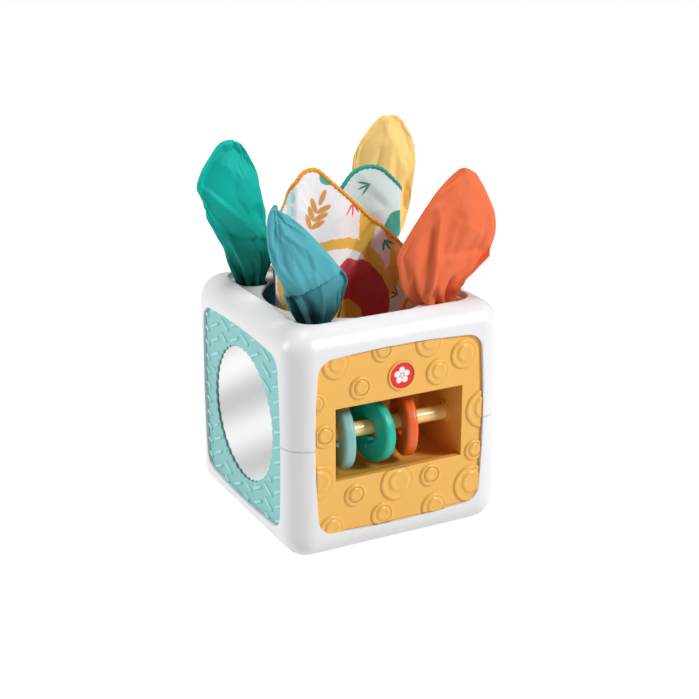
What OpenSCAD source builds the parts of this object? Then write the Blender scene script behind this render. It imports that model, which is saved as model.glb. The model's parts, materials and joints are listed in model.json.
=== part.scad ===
// Baby activity cube. A hollow plastic cube holds four pull-out cloths and two
// crinkle sheets, and each of its four sides carries an activity: a mirror,
// three rings on an axle, a roller ball and a spinner.
// Millimetres, +Z up. The origin is the bottom centre of the cube, and the side
// with the rings faces -Y.

/* [Cube] */
// Width, depth and height of the cube
side = 125; // [124:0.5:130]
// Radius of the outer edges and corners
edge_r = 14; // [12:0.5:15]
// Wall thickness of the two shells
wall = 2.5; // [2.2:0.1:2.8]
// Gap that shows between the two shells
seam_gap = 0.2; // [0.1:0.05:0.4]

/* [Side panels] */
// Width and height of the part of a panel that shows
panel_w = 98; // [94:0.5:98]
// Corner radius of a panel
panel_corner_r = 9; // [8:0.5:10]
// How far a panel's sides bow out between their corners
panel_bow = 1.5; // [0.8:0.1:2]
// Depth of a panel's face below the cube's surface
panel_inset = 1.64; // [1.5:0.02:1.8]

/* [Top opening] */
// Half width of the shallow recess in the top
recess_half = 50; // [49:0.5:51]
// Depth of that recess
recess_depth = 3; // [2.5:0.1:3.2]
// Radius of the round opening for the crinkle sheets
opening_r = 44.5; // [43.5:0.5:45]
// Radius of the four corner lobes that each hold one cloth
lobe_r = 8.4; // [8:0.1:8.8]
// Distance of a lobe's centre from the cube's middle, along X and along Y
lobe_at = 37.75; // [37.5:0.25:38]

/* [Mirror side] */
// Mean radius of the wavy hole over the mirror
mirror_hole_r = 36.7; // [35:0.1:37]
// Number of waves round that hole
mirror_waves = 44; // [30:1:48]
// Height of one wave
wave_height = 0.9; // [0.4:0.1:1.2]

/* [Ring side] */
// Width of the window in the ring panel
window_w = 74; // [72:0.5:74]
// Height of that window
window_h = 39.7; // [38:0.1:40]
// Diameter of the axle
axle_d = 8; // [7:0.1:8]
// Diameter of a ring
ring_d = 35; // [33:0.5:35]
// Thickness of a ring
ring_t = 6.5; // [6:0.5:7]
// Diameter of the hole in a ring
ring_hole_d = 12.4; // [12:0.1:13]

/* [Roller side and spinner side] */
// Diameter of the roller ball
ball_d = 40.6; // [39:0.2:40.6]
// Outer diameter of the spinner wheel
spinner_d = 56; // [52:1:58]

/* [Hidden] */
$fn = 64;
eps = 0.01;

white = [0.93, 0.93, 0.94];
teal = [0.50, 0.78, 0.76];
amber = [0.93, 0.71, 0.33];
steel = [0.70, 0.71, 0.73];

// The cube
half = side / 2;
mid = side / 2;
inner_half = half - wall;
ceiling_z = side - recess_depth - wall;
recess_r = 10.5;
rim_break = 0.8;
post_at = 47;
post_r = 5;
post_web_t = 2;
upper_post_h = 20;
screw_web = 10;

// Screws: head radius, head height, shank radius and length
shell_screw = [2.8, 2, 1.3, 18];
small_screw = [2.4, 1.6, 1.25, 4.5];
spinner_bolt = [2.8, 1.6, 1.25, 7];
shell_pilot_depth = 12;
shell_clear_r = 1.7;
shell_counterbore_r = 3.4;
small_pilot_depth = 2.6;
small_clear_r = 1.4;

// The panels: depths are measured outwards from the cube's middle
face_at = half - panel_inset;
flange_front = inner_half - 0.05;
panel_back = 57.5;
panel_gap = 0.15;
flange_half = 53;
flange_r = 10;
flange_gap = 0.3;
bow_run = panel_w / 2 - panel_bow - panel_corner_r;
bow_r = (bow_run * bow_run / panel_bow + panel_bow) / 2;
fin_at = 30;
fin = [2, 10, 4];
fin_depth = panel_back - 2.2;

// The mirror
mirror_t = 2.6;
mirror_r = mirror_hole_r + 2.6;
backplate_half = 38;
backplate_r = 8;
backplate_t = 2;
backplate_screw_at = 33;

// The window, its tub and the axle
tub_wall = 2;
tub_back = 16;
tub_corner_r = 6;
tub_corner_at = [tub_back + tub_corner_r, 16.5];
tub_arc_r = 56;
tub_arc_at = [36, 31.5];
tub_flange = [47, 30];
tub_flange_r = 4;
tub_flange_t = 2;
tub_screw_at = [42.5, 22];
axle_depth = 43.5;
axle_drop = 1;
axle_head = [5.5, 1.5];
axle_tail = 3;
cap = [6.5, 2];
collar = [5.75, 1.2];
ring_drop = axle_drop + ring_hole_d / 2 - axle_d / 2 - 0.3;
ring_rim_r = 2.2;
ring_lip_r = 1.6;
nub_r = 1.2;
nub_at = ring_hole_d / 2 + 2.6;

// Each bubble on the ring panel: across, up from the panel's middle, radius
BUBBLES = [[-36.5, 44, 7.8], [-23, 29, 6.1], [-10.5, 47, 6], [16.5, 47, 7.8],
           [22, 30, 6.9], [37.5, 37, 7.9], [50, 4.5, 10.5], [45, -18.5, 5.7],
           [43.5, -37.5, 10.4], [18.5, -27.5, 6.2], [21, -46, 7.5], [-1, -27.5, 10],
           [-10, -44, 6.6], [-26, -29.5, 6.1], [-47, -18.5, 9.5], [-39.5, -45.5, 7],
           [-43.5, 6.5, 6.1], [-48, 24.5, 5.7]];
bubble_step = 0.6;
bubble_core = 0.5;
bubble_shift = 0.06;
badge_at = [0.7, 31.8];
badge_r = 7;
badge_t = 1.1;
badge_sink = 0.7;
badge_rim = [0.9, 0.8];

// The roller ball and its cup
ball_depth = 41.5;
ball_r = ball_d / 2;
cup_r = 22.5;
cup_wall = 2;
cup_flange_r = 31;
cup_flange_t = 2;
cup_screw_r = 27.8;
cup_boss_r = 4;
cup_ring = [24, 22, 1.2];
ball_window = [17, 19.5, 6];
pin_r = 2;
running = 0.05;

// The spinner and its dish
dish_r = 31;
dish_wall = 2;
dish_floor = 54.5;
dish_t = 2;
spinner_front = 61.3;
spinner_back = 55.3;
stem_r = 4;
stem_end = dish_floor - dish_t - 0.3;
petals = 6;
petal_r = 10;
petal_hole_r = 4;
hub_r = 16;
groove = [8, 13, 1.2];
washer = [7.5, 1.6, 1.5];

// Cloth: each row is X, Y, Z and the radius of a bulge that the closed form spans
neck_r = 6;
neck_low = 96;
neck_high = 124;
GREEN = [[-60, 37, 177, 6], [-56, 37, 160, 6], [-34, 38, 158, 6], [-38, 38, 184, 6], [-49, 37, 193, 6]];
PETROL = [[-54, -38, 160, 6], [-55, -38, 176, 6], [-27, -38, 143, 6]];
CORAL = [[18, -38, 148, 6], [60, -38, 162, 6], [59, -38, 150, 6], [48, -38, 182, 6]];
YELLOW = [[33, 39, 182, 6], [54, 39, 184, 6], [46, 39, 194, 6], [53, 39, 152, 6]];
WHITE_BELOW = [[-31, -8, 52, 5], [27, -8, 52, 5], [-33, -8, 124, 5], [31, -8, 124, 5]];
WHITE_ABOVE = [[-36, -8, 146, 5], [-33, -8, 172, 5], [-22, -8, 189, 5], [31, -8, 142, 5]];
WHITE_WING = [[-32, -8, 52, 5], [-34, -8, 150, 5], [-33, 10, 52, 5], [-33, 10, 140, 5]];
TEAL_BELOW = [[-6, 9.5, 60, 5], [30, 9.5, 60, 5], [-8, 9.5, 124, 5], [33, 9.5, 124, 5]];
TEAL_ABOVE = [[0, 9.5, 176, 5], [10, 9.5, 184, 5], [30, 9.5, 171, 5], [42, 9.5, 148, 5]];

// ---- Shared shapes ----

// A rectangle of the given half width and half height with round corners
module rounded_rect(half_w, half_h, r) {
    square([2 * half_w, 2 * (half_h - r)], center = true);
    square([2 * (half_w - r), 2 * half_h], center = true);
    for (x = [-1, 1], y = [-1, 1])
        translate([x * (half_w - r), y * (half_h - r)]) circle(r = r);
}

// Puts children on a side of the cube: X is across, Y is up, Z is outwards
module on_side(turn) {
    translate([0, 0, mid]) rotate([0, 0, turn]) rotate([90, 0, 0]) children();
}

// A slab between two depths, of the outline that follows
module slab(from, to) {
    translate([0, 0, from]) linear_extrude(to - from) children();
}

// A panel's outline grown by a margin: round corners, and sides that bow out between them
module panel_outline(grow) {
    reach = panel_w / 2 + grow;
    corner_reach = reach - panel_bow;
    rounded_rect(corner_reach, corner_reach, panel_corner_r + grow);
    for (turn = [0, 90])
        rotate(turn) intersection() {
            square([2 * reach, 2 * bow_run], center = true);
            translate([bow_r - reach, 0]) circle(r = bow_r, $fn = 720);
            translate([reach - bow_r, 0]) circle(r = bow_r, $fn = 720);
        }
}

// A panel: the land that fills the frame, and a flange behind the frame
module panel_plate() {
    slab(panel_back, face_at) panel_outline(0);
    slab(panel_back, flange_front) rounded_rect(flange_half, flange_half, flange_r);
}

// A screw that points along +Z, with the underside of its head at the origin
module pan_screw(sizes) {
    translate([0, 0, -sizes[1]]) cylinder(r = sizes[0], h = sizes[1]);
    cylinder(r = sizes[2], h = sizes[3]);
}

// The blind hole in a panel's back that a small screw cuts its thread in
module small_pilot() cylinder(r = small_screw[2], h = small_pilot_depth);

// The clearance hole for a small screw in a flange of thickness t
module small_clearance(t) {
    translate([0, 0, -t - 1]) cylinder(r = small_clear_r, h = t + 2);
}

// ---- Shells ----

module rounded_cube() {
    c = half - edge_r;
    translate([0, 0, mid]) {
        for (a = [[0, 0, 0], [0, 90, 0], [90, 0, 0]]) {
            rotate(a) cube([2 * c, 2 * c, side], center = true);
            for (x = [-c, c], y = [-c, c])
                rotate(a) translate([x, y, 0]) cylinder(r = edge_r, h = 2 * c, center = true);
        }
        for (x = [-c, c], y = [-c, c], z = [-c, c])
            translate([x, y, z]) sphere(r = edge_r);
    }
}

module cavity() {
    half_h = (ceiling_z - wall) / 2;
    lift = (ceiling_z + wall) / 2 - mid;
    intersection() {
        translate([0, 0, wall]) linear_extrude(ceiling_z - wall)
            rounded_rect(inner_half, inner_half, edge_r);
        on_side(0) translate([0, lift, -side]) linear_extrude(2 * side)
            rounded_rect(inner_half, half_h, edge_r);
        on_side(90) translate([0, lift, -side]) linear_extrude(2 * side)
            rounded_rect(inner_half, half_h, edge_r);
    }
}

module hollow_cube() {
    difference() {
        rounded_cube();
        cavity();
        for (turn = [0, 90, 180, 270])
            on_side(turn) {
                slab(half - 2 * edge_r, half + 1) panel_outline(panel_gap);
                slab(panel_back - seam_gap, inner_half)
                    rounded_rect(flange_half + flange_gap, flange_half + flange_gap, flange_r);
            }
    }
}

// A hole through the recess floor whose upper edge is broken
module flared_hole(r) {
    floor_z = side - recess_depth;
    translate([0, 0, ceiling_z - 1]) cylinder(r = r, h = wall + recess_depth);
    translate([0, 0, floor_z - rim_break])
        cylinder(r1 = r, r2 = r + rim_break + 0.2, h = rim_break + 0.2);
}

module top_opening() {
    translate([0, 0, side - recess_depth]) linear_extrude(recess_depth + 1)
        rounded_rect(recess_half, recess_half, recess_r);
    flared_hole(opening_r);
    for (x = [-1, 1], y = [-1, 1])
        translate([x * lobe_at, y * lobe_at, 0]) flared_hole(lobe_r);
}

// A screw post in each corner, with a web that ties it to the corner of the shell
module posts(from, to) {
    web_len = (half - edge_r * (1 - sqrt(0.5)) - post_at - 1) * sqrt(2);
    web_lift = max(0, edge_r - from);
    for (a = [0, 90, 180, 270])
        rotate([0, 0, a]) translate([post_at, post_at, from]) {
            cylinder(r = post_r, h = to - from);
            rotate([0, 0, 45]) translate([0, -post_web_t / 2, web_lift])
                cube([web_len, post_web_t, to - from - web_lift]);
        }
}

// Two fins behind each panel's flange, with their middle at height fin_y
module fins(fin_y) {
    for (turn = [0, 90, 180, 270], x = [-fin_at, fin_at])
        on_side(turn) translate([x, fin_y, fin_depth])
            cube(fin, center = true);
}

module upper_shell() {
    cut_z = mid + seam_gap / 2;
    color(white) difference() {
        union() {
            intersection() {
                hollow_cube();
                translate([-side, -side, cut_z]) cube([2 * side, 2 * side, side]);
            }
            posts(cut_z, cut_z + upper_post_h);
            fins(half - fin[1]);
        }
        top_opening();
        for (x = [-post_at, post_at], y = [-post_at, post_at])
            translate([x, y, cut_z - 1]) cylinder(r = shell_screw[2], h = shell_pilot_depth);
    }
}

module lower_shell() {
    cut_z = mid - seam_gap / 2;
    color(white) difference() {
        union() {
            intersection() {
                hollow_cube();
                translate([-side, -side, cut_z - side]) cube([2 * side, 2 * side, side]);
            }
            posts(wall - 0.5, cut_z + seam_gap);
            fins(fin[1] - half - 1);
        }
        for (x = [-post_at, post_at], y = [-post_at, post_at])
            translate([x, y, -1]) {
                cylinder(r = shell_counterbore_r, h = mid - screw_web + 1);
                cylinder(r = shell_clear_r, h = side);
            }
    }
}

module shell_screws() {
    color(steel) for (x = [-post_at, post_at], y = [-post_at, post_at])
        translate([x, y, mid - screw_web]) pan_screw(shell_screw);
}

// ---- Mirror side ----

function wavy(r, waves, height) = [
    for (i = [0 : 6 * waves - 1])
        let (a = 60 * i / waves)
        (r + height / 2 * cos(a * waves)) * [cos(a), sin(a)]
];

module mirror_panel() {
    color(teal) on_side(-90) difference() {
        panel_plate();
        slab(panel_back - 1, face_at + 1)
            polygon(wavy(mirror_hole_r, mirror_waves, wave_height));
        slab(panel_back - 1, panel_back + mirror_t) circle(r = mirror_r + 0.2);
        at_backplate_screws() small_pilot();
    }
}

module at_backplate_screws() {
    for (x = [-1, 1], y = [-1, 1])
        translate([x * backplate_screw_at, y * backplate_screw_at, panel_back - eps]) children();
}

module mirror() {
    color([0.85, 0.87, 0.89]) on_side(-90)
        slab(panel_back, panel_back + mirror_t) circle(r = mirror_r);
}

module mirror_backplate() {
    color(white) on_side(-90) difference() {
        slab(panel_back - backplate_t, panel_back)
            rounded_rect(backplate_half, backplate_half, backplate_r);
        at_backplate_screws() small_clearance(backplate_t);
    }
}

module mirror_screws() {
    color(steel) on_side(-90) at_backplate_screws()
        translate([0, 0, eps - backplate_t]) pan_screw(small_screw);
}

// ---- Ring side ----

// Two low steps, the upper one set a little towards the top
module bubble(r) {
    cylinder(r1 = r + 0.2, r2 = r - 0.3, h = bubble_step);
    translate([bubble_shift * r, bubble_shift * r, bubble_step - eps])
        cylinder(r1 = bubble_core * r, r2 = bubble_core * r - 0.4, h = bubble_step - 0.1);
}

module window_outline() square([window_w, window_h], center = true);

module ring_panel() {
    color(amber) on_side(0) difference() {
        union() {
            panel_plate();
            intersection() {
                union() for (b = BUBBLES)
                    translate([b[0], b[1], face_at - eps]) bubble(b[2]);
                slab(face_at - 1, half) panel_outline(-0.5);
            }
            translate([badge_at[0], badge_at[1], face_at - eps])
                cylinder(r = badge_r + badge_rim[0], h = badge_rim[1]);
        }
        slab(panel_back - 1, half + 1) window_outline();
        translate([badge_at[0], badge_at[1], face_at - badge_sink]) cylinder(r = badge_r, h = 3);
        at_tub_screws() small_pilot();
    }
}

module at_tub_screws() {
    for (x = [-1, 1], y = [-1, 1])
        translate([x * tub_screw_at[0], y * tub_screw_at[1], panel_back - eps]) children();
}

// Section of the tub's hollow, grown by t: X is the depth, Y is up
module tub_section(t, mouth) {
    intersection() {
        translate([tub_arc_at[0], tub_arc_at[1]]) circle(r = tub_arc_r + t, $fn = 180);
        translate([tub_arc_at[0], -tub_arc_at[1]]) circle(r = tub_arc_r + t, $fn = 180);
        translate([tub_corner_at[0], -side / 2]) square([mouth - tub_corner_at[0], side]);
    }
    for (y = [-1, 1])
        translate([tub_corner_at[0], y * tub_corner_at[1]]) circle(r = tub_corner_r + t);
    translate([tub_back - t, -tub_corner_at[1]])
        square([tub_corner_r + t, 2 * tub_corner_at[1]]);
}

// A straight run across the side, of a section drawn in depth and height
module across(width) {
    rotate([0, -90, 0]) linear_extrude(width, center = true) children();
}

module along_axle(x) {
    translate([x, -axle_drop, axle_depth]) rotate([0, 90, 0]) children();
}

module ring_tub() {
    half_w = window_w / 2;
    color(amber) on_side(0) difference() {
        union() {
            across(window_w + 2 * tub_wall) tub_section(tub_wall, panel_back);
            slab(panel_back - tub_flange_t, panel_back)
                rounded_rect(tub_flange[0], tub_flange[1], tub_flange_r);
        }
        difference() {
            across(window_w) tub_section(0, panel_back + 1);
            along_axle(-half_w) cylinder(r = collar[0], h = collar[1]);
            along_axle(half_w - collar[1]) cylinder(r = collar[0], h = collar[1]);
        }
        along_axle(-side / 2) cylinder(r = axle_d / 2, h = side);
        at_tub_screws() small_clearance(tub_flange_t);
    }
}

module tub_screws() {
    color(steel) on_side(0) at_tub_screws()
        translate([0, 0, eps - tub_flange_t]) pan_screw(small_screw);
}

module ring_axle() {
    wall_x = window_w / 2 + tub_wall;
    color(amber) on_side(0) {
        along_axle(-wall_x - axle_head[1]) cylinder(r = axle_head[0], h = axle_head[1]);
        along_axle(-wall_x) cylinder(r = axle_d / 2, h = 2 * wall_x + axle_tail);
    }
}

module axle_cap() {
    wall_x = window_w / 2 + tub_wall;
    color(steel) on_side(0) along_axle(wall_x) difference() {
        cylinder(r = cap[0], h = cap[1]);
        translate([0, 0, -1]) cylinder(r = axle_d / 2, h = cap[1] + 2);
    }
}

// Section of a ring: a full rim outside and a softer lip round the hole
module ring_section() {
    rim_x = ring_d / 2 - ring_rim_r;
    lip_x = ring_hole_d / 2 + ring_lip_r;
    rim_y = ring_t / 2 - ring_rim_r;
    lip_y = ring_t / 2 - ring_lip_r;
    translate([lip_x, -ring_t / 2]) square([rim_x - lip_x, ring_t]);
    translate([rim_x - 1, -rim_y]) square([ring_rim_r + 1, 2 * rim_y]);
    translate([lip_x - ring_lip_r, -lip_y]) square([ring_lip_r + 1, 2 * lip_y]);
    for (y = [-1, 1]) {
        translate([rim_x, y * rim_y]) circle(r = ring_rim_r);
        translate([lip_x, y * lip_y]) circle(r = ring_lip_r);
    }
}

// A ring that hangs on the axle at x, turned about the vertical by yaw
module ring(x, yaw) {
    on_side(0) translate([x, -ring_drop, axle_depth])
        rotate([0, yaw, 0]) rotate([0, 90, 0]) {
            rotate_extrude() ring_section();
            translate([1, -nub_at, -ring_t / 2]) sphere(r = nub_r);
        }
}

module ring_blue() color([0.60, 0.81, 0.83]) ring(-25, -10);
module ring_green() color([0.00, 0.60, 0.50]) ring(-7, 10);
module ring_orange() color([0.92, 0.40, 0.15]) ring(12, -12);

module badge() {
    color([0.94, 0.22, 0.16]) on_side(0)
        translate([badge_at[0], badge_at[1], face_at - badge_sink]) cylinder(r = badge_r, h = badge_t);
}

// ---- Roller side ----

module roller_panel() {
    color([0.25, 0.56, 0.62]) on_side(180) difference() {
        union() {
            panel_plate();
            translate([0, 0, face_at - eps])
                cylinder(r1 = cup_ring[0], r2 = cup_ring[1], h = cup_ring[2]);
        }
        translate([0, 0, panel_back - 1])
            cylinder(r1 = ball_window[0], r2 = ball_window[1], h = ball_window[2]);
        at_cup_screws() small_pilot();
    }
}

module at_cup_screws() {
    for (a = [45, 135, 225, 315])
        rotate([0, 0, a]) translate([cup_screw_r, 0, panel_back - eps]) children();
}

module along_pin(x) translate([x, 0, ball_depth]) rotate([0, 90, 0]) children();

module roller_cup() {
    boss_x = ball_r + 0.5;
    color(white) on_side(180) difference() {
        union() {
            translate([0, 0, ball_depth]) sphere(r = cup_r + cup_wall);
            translate([0, 0, ball_depth]) cylinder(r = cup_r + cup_wall, h = panel_back - ball_depth);
            slab(panel_back - cup_flange_t, panel_back) circle(r = cup_flange_r);
        }
        difference() {
            union() {
                translate([0, 0, ball_depth]) sphere(r = cup_r);
                translate([0, 0, ball_depth]) cylinder(r = cup_r, h = side);
            }
            for (x = [-cup_r - 1, boss_x])
                along_pin(x) cylinder(r = cup_boss_r, h = cup_r + 1 - boss_x);
        }
        along_pin(-side / 2) cylinder(r = pin_r, h = side);
        at_cup_screws() small_clearance(cup_flange_t);
    }
}

module cup_screws() {
    color(steel) on_side(180) at_cup_screws()
        translate([0, 0, eps - cup_flange_t]) pan_screw(small_screw);
}

module roller_pin() {
    reach = cup_r + cup_wall + 1;
    color(steel) on_side(180) along_pin(-reach) cylinder(r = pin_r, h = 2 * reach);
}

module roller_ball() {
    color(amber) on_side(180) difference() {
        translate([0, 0, ball_depth]) sphere(r = ball_r);
        along_pin(-side / 2) cylinder(r = pin_r + running, h = side);
    }
}

// ---- Spinner side ----

module spinner_panel() {
    color([0.91, 0.44, 0.28]) on_side(90) difference() {
        union() {
            panel_plate();
            slab(dish_floor - dish_t, panel_back + 1) circle(r = dish_r + dish_wall);
        }
        translate([0, 0, dish_floor]) cylinder(r = dish_r, h = side);
        translate([0, 0, dish_floor - dish_t - 1]) cylinder(r = stem_r + running, h = side);
    }
}

module spinner() {
    color([0.98, 0.80, 0.42]) on_side(90) difference() {
        union() {
            slab(spinner_back, spinner_front) {
                circle(r = hub_r);
                for (i = [0 : petals - 1])
                    rotate(i * 360 / petals) translate([spinner_d / 2 - petal_r, 0]) circle(r = petal_r);
            }
            translate([0, 0, stem_end]) cylinder(r = stem_r, h = spinner_back - stem_end + 1);
        }
        translate([0, 0, spinner_front - groove[2]]) difference() {
            cylinder(r = groove[1], h = 3);
            translate([0, 0, -1]) cylinder(r = groove[0], h = 5);
        }
        for (i = [0 : petals - 1])
            rotate([0, 0, i * 360 / petals]) translate([spinner_d / 2 - petal_r, 0, spinner_back - 1])
                cylinder(r = petal_hole_r, h = 10);
        translate([0, 0, stem_end - 1]) cylinder(r = spinner_bolt[2], h = spinner_bolt[3]);
    }
}

module spinner_washer() {
    color(steel) on_side(90) translate([0, 0, stem_end - washer[2]]) difference() {
        cylinder(r = washer[0], h = washer[2]);
        translate([0, 0, -1]) cylinder(r = washer[1], h = washer[2] + 2);
    }
}

module spinner_screw() {
    color(steel) on_side(90) translate([0, 0, stem_end - washer[2]]) pan_screw(spinner_bolt);
}

// ---- Cloth ----

// A closed form over a few bulges
module bundle(bulges) {
    hull() for (b = bulges)
        translate([b[0], b[1], b[2]]) sphere(r = b[3], $fn = 20);
}

// A cloth drawn up through the lobe at (x, y), with its gathered neck below
module tissue(x, y, bulges) {
    translate([x, y, neck_low]) cylinder(r = neck_r, h = neck_high - neck_low);
    bundle(concat([[x, y, neck_high, neck_r]], bulges));
}

module tissue_green() color([0.00, 0.62, 0.53]) tissue(-lobe_at, lobe_at, GREEN);
module tissue_petrol() color([0.20, 0.54, 0.60]) tissue(-lobe_at, -lobe_at, PETROL);
module tissue_coral() color([0.91, 0.43, 0.28]) tissue(lobe_at, -lobe_at, CORAL);
module tissue_yellow() color([0.93, 0.76, 0.42]) tissue(lobe_at, lobe_at, YELLOW);

module crinkle_white() {
    color([0.95, 0.92, 0.93]) {
        bundle(WHITE_BELOW);
        bundle(concat([WHITE_BELOW[2], WHITE_BELOW[3]], WHITE_ABOVE));
        bundle(WHITE_WING);
    }
}

module crinkle_teal() {
    color([0.62, 0.77, 0.76]) {
        bundle(TEAL_BELOW);
        bundle(concat([TEAL_BELOW[2], TEAL_BELOW[3]], TEAL_ABOVE));
    }
}

upper_shell();
lower_shell();
shell_screws();
mirror_panel();
mirror();
mirror_backplate();
mirror_screws();
ring_panel();
ring_tub();
tub_screws();
ring_axle();
axle_cap();
ring_blue();
ring_green();
ring_orange();
badge();
roller_panel();
roller_cup();
cup_screws();
roller_pin();
roller_ball();
spinner_panel();
spinner();
spinner_washer();
spinner_screw();
tissue_green();
tissue_petrol();
tissue_coral();
tissue_yellow();
crinkle_white();
crinkle_teal();
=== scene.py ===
"""Looks of a baby activity cube: moulded plastics, a mirror, pull-out cloths and printed sheets.

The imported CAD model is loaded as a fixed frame. The plastic parts keep their CAD shapes and get
their finishes here. The soft parts, the raised patterns and the badge's flower are built here and
ride on the CAD bodies. Lengths in the dataclasses are millimetres, and Blender's are metres.
"""

from __future__ import annotations

import json
import logging
import math
from dataclasses import dataclass, field
from enum import Enum
from typing import Callable, Iterable, Sequence

import bmesh
import bpy
import numpy as np
from mathutils import Matrix, Vector

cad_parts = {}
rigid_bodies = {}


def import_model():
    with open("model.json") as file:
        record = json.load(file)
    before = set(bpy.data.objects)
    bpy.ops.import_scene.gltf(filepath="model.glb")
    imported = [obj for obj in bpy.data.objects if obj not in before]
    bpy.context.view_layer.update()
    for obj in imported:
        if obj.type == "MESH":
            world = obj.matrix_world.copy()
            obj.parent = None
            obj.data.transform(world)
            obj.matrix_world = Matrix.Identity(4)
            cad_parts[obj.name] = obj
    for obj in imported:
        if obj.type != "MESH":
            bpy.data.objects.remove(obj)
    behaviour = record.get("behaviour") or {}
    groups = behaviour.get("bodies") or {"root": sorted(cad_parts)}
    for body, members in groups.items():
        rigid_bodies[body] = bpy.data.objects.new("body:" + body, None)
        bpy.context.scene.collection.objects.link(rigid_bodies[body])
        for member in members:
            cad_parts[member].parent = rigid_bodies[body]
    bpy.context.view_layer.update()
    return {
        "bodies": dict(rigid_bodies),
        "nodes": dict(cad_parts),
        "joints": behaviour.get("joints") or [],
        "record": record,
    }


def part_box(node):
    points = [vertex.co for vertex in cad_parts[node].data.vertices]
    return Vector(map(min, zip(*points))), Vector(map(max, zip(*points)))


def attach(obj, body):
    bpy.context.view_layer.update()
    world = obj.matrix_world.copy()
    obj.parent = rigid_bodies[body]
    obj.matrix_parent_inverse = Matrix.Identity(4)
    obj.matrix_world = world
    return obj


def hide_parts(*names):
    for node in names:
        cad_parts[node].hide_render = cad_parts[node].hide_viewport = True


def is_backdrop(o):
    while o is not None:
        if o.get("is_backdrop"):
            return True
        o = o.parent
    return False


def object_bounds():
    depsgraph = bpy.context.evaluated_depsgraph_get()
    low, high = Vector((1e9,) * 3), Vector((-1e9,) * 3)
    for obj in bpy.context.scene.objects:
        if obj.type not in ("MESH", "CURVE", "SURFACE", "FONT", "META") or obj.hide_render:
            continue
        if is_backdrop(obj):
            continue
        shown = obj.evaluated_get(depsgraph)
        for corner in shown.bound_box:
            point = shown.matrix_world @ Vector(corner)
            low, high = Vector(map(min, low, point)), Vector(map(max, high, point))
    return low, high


log = logging.getLogger("activity_cube")

MM = 0.001
Colour = tuple[float, float, float]


class Side(Enum):
    """A side of the cube, by the turn in degrees that takes the front to it."""

    FRONT = 0
    LEFT = -90
    REAR = 180
    RIGHT = 90


class Mark(Enum):
    """A kind of printed shape."""

    BLOB = "blob"
    RING = "ring"


# ---------------------------------------------------------------- shader building


class Wire:
    """An output of a shader node. Arithmetic on it adds Math nodes."""

    def __init__(self, shader: "Shader", socket: bpy.types.NodeSocket) -> None:
        """Wraps a socket.

        Args:
            shader: The material that the socket belongs to.
            socket: The socket.
        """
        self.shader = shader
        self.socket = socket

    def maths(self, operation: str, *others: "Wire | float") -> "Wire":
        """Adds a Math node whose first input is this wire.

        Args:
            operation: The Math node's operation.
            others: The other inputs, as wires or numbers.

        Returns:
            The result.
        """
        inputs = dict(enumerate((self, *others)))
        return self.shader.node("ShaderNodeMath", {"operation": operation}, inputs)

    def __add__(self, other: "Wire | float") -> "Wire":
        """Adds."""
        return self.maths("ADD", other)

    __radd__ = __add__

    def __mul__(self, other: "Wire | float") -> "Wire":
        """Multiplies."""
        return self.maths("MULTIPLY", other)

    __rmul__ = __mul__

    def __sub__(self, other: "Wire | float") -> "Wire":
        """Subtracts."""
        return self.maths("SUBTRACT", other)

    def __rsub__(self, other: float) -> "Wire":
        """Subtracts this wire from a number."""
        return (self * -1.0) + other

    def clamped(self) -> "Wire":
        """Limits the value to the range from 0 to 1."""
        return self.maths("MINIMUM", 1.0).maths("MAXIMUM", 0.0)


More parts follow.
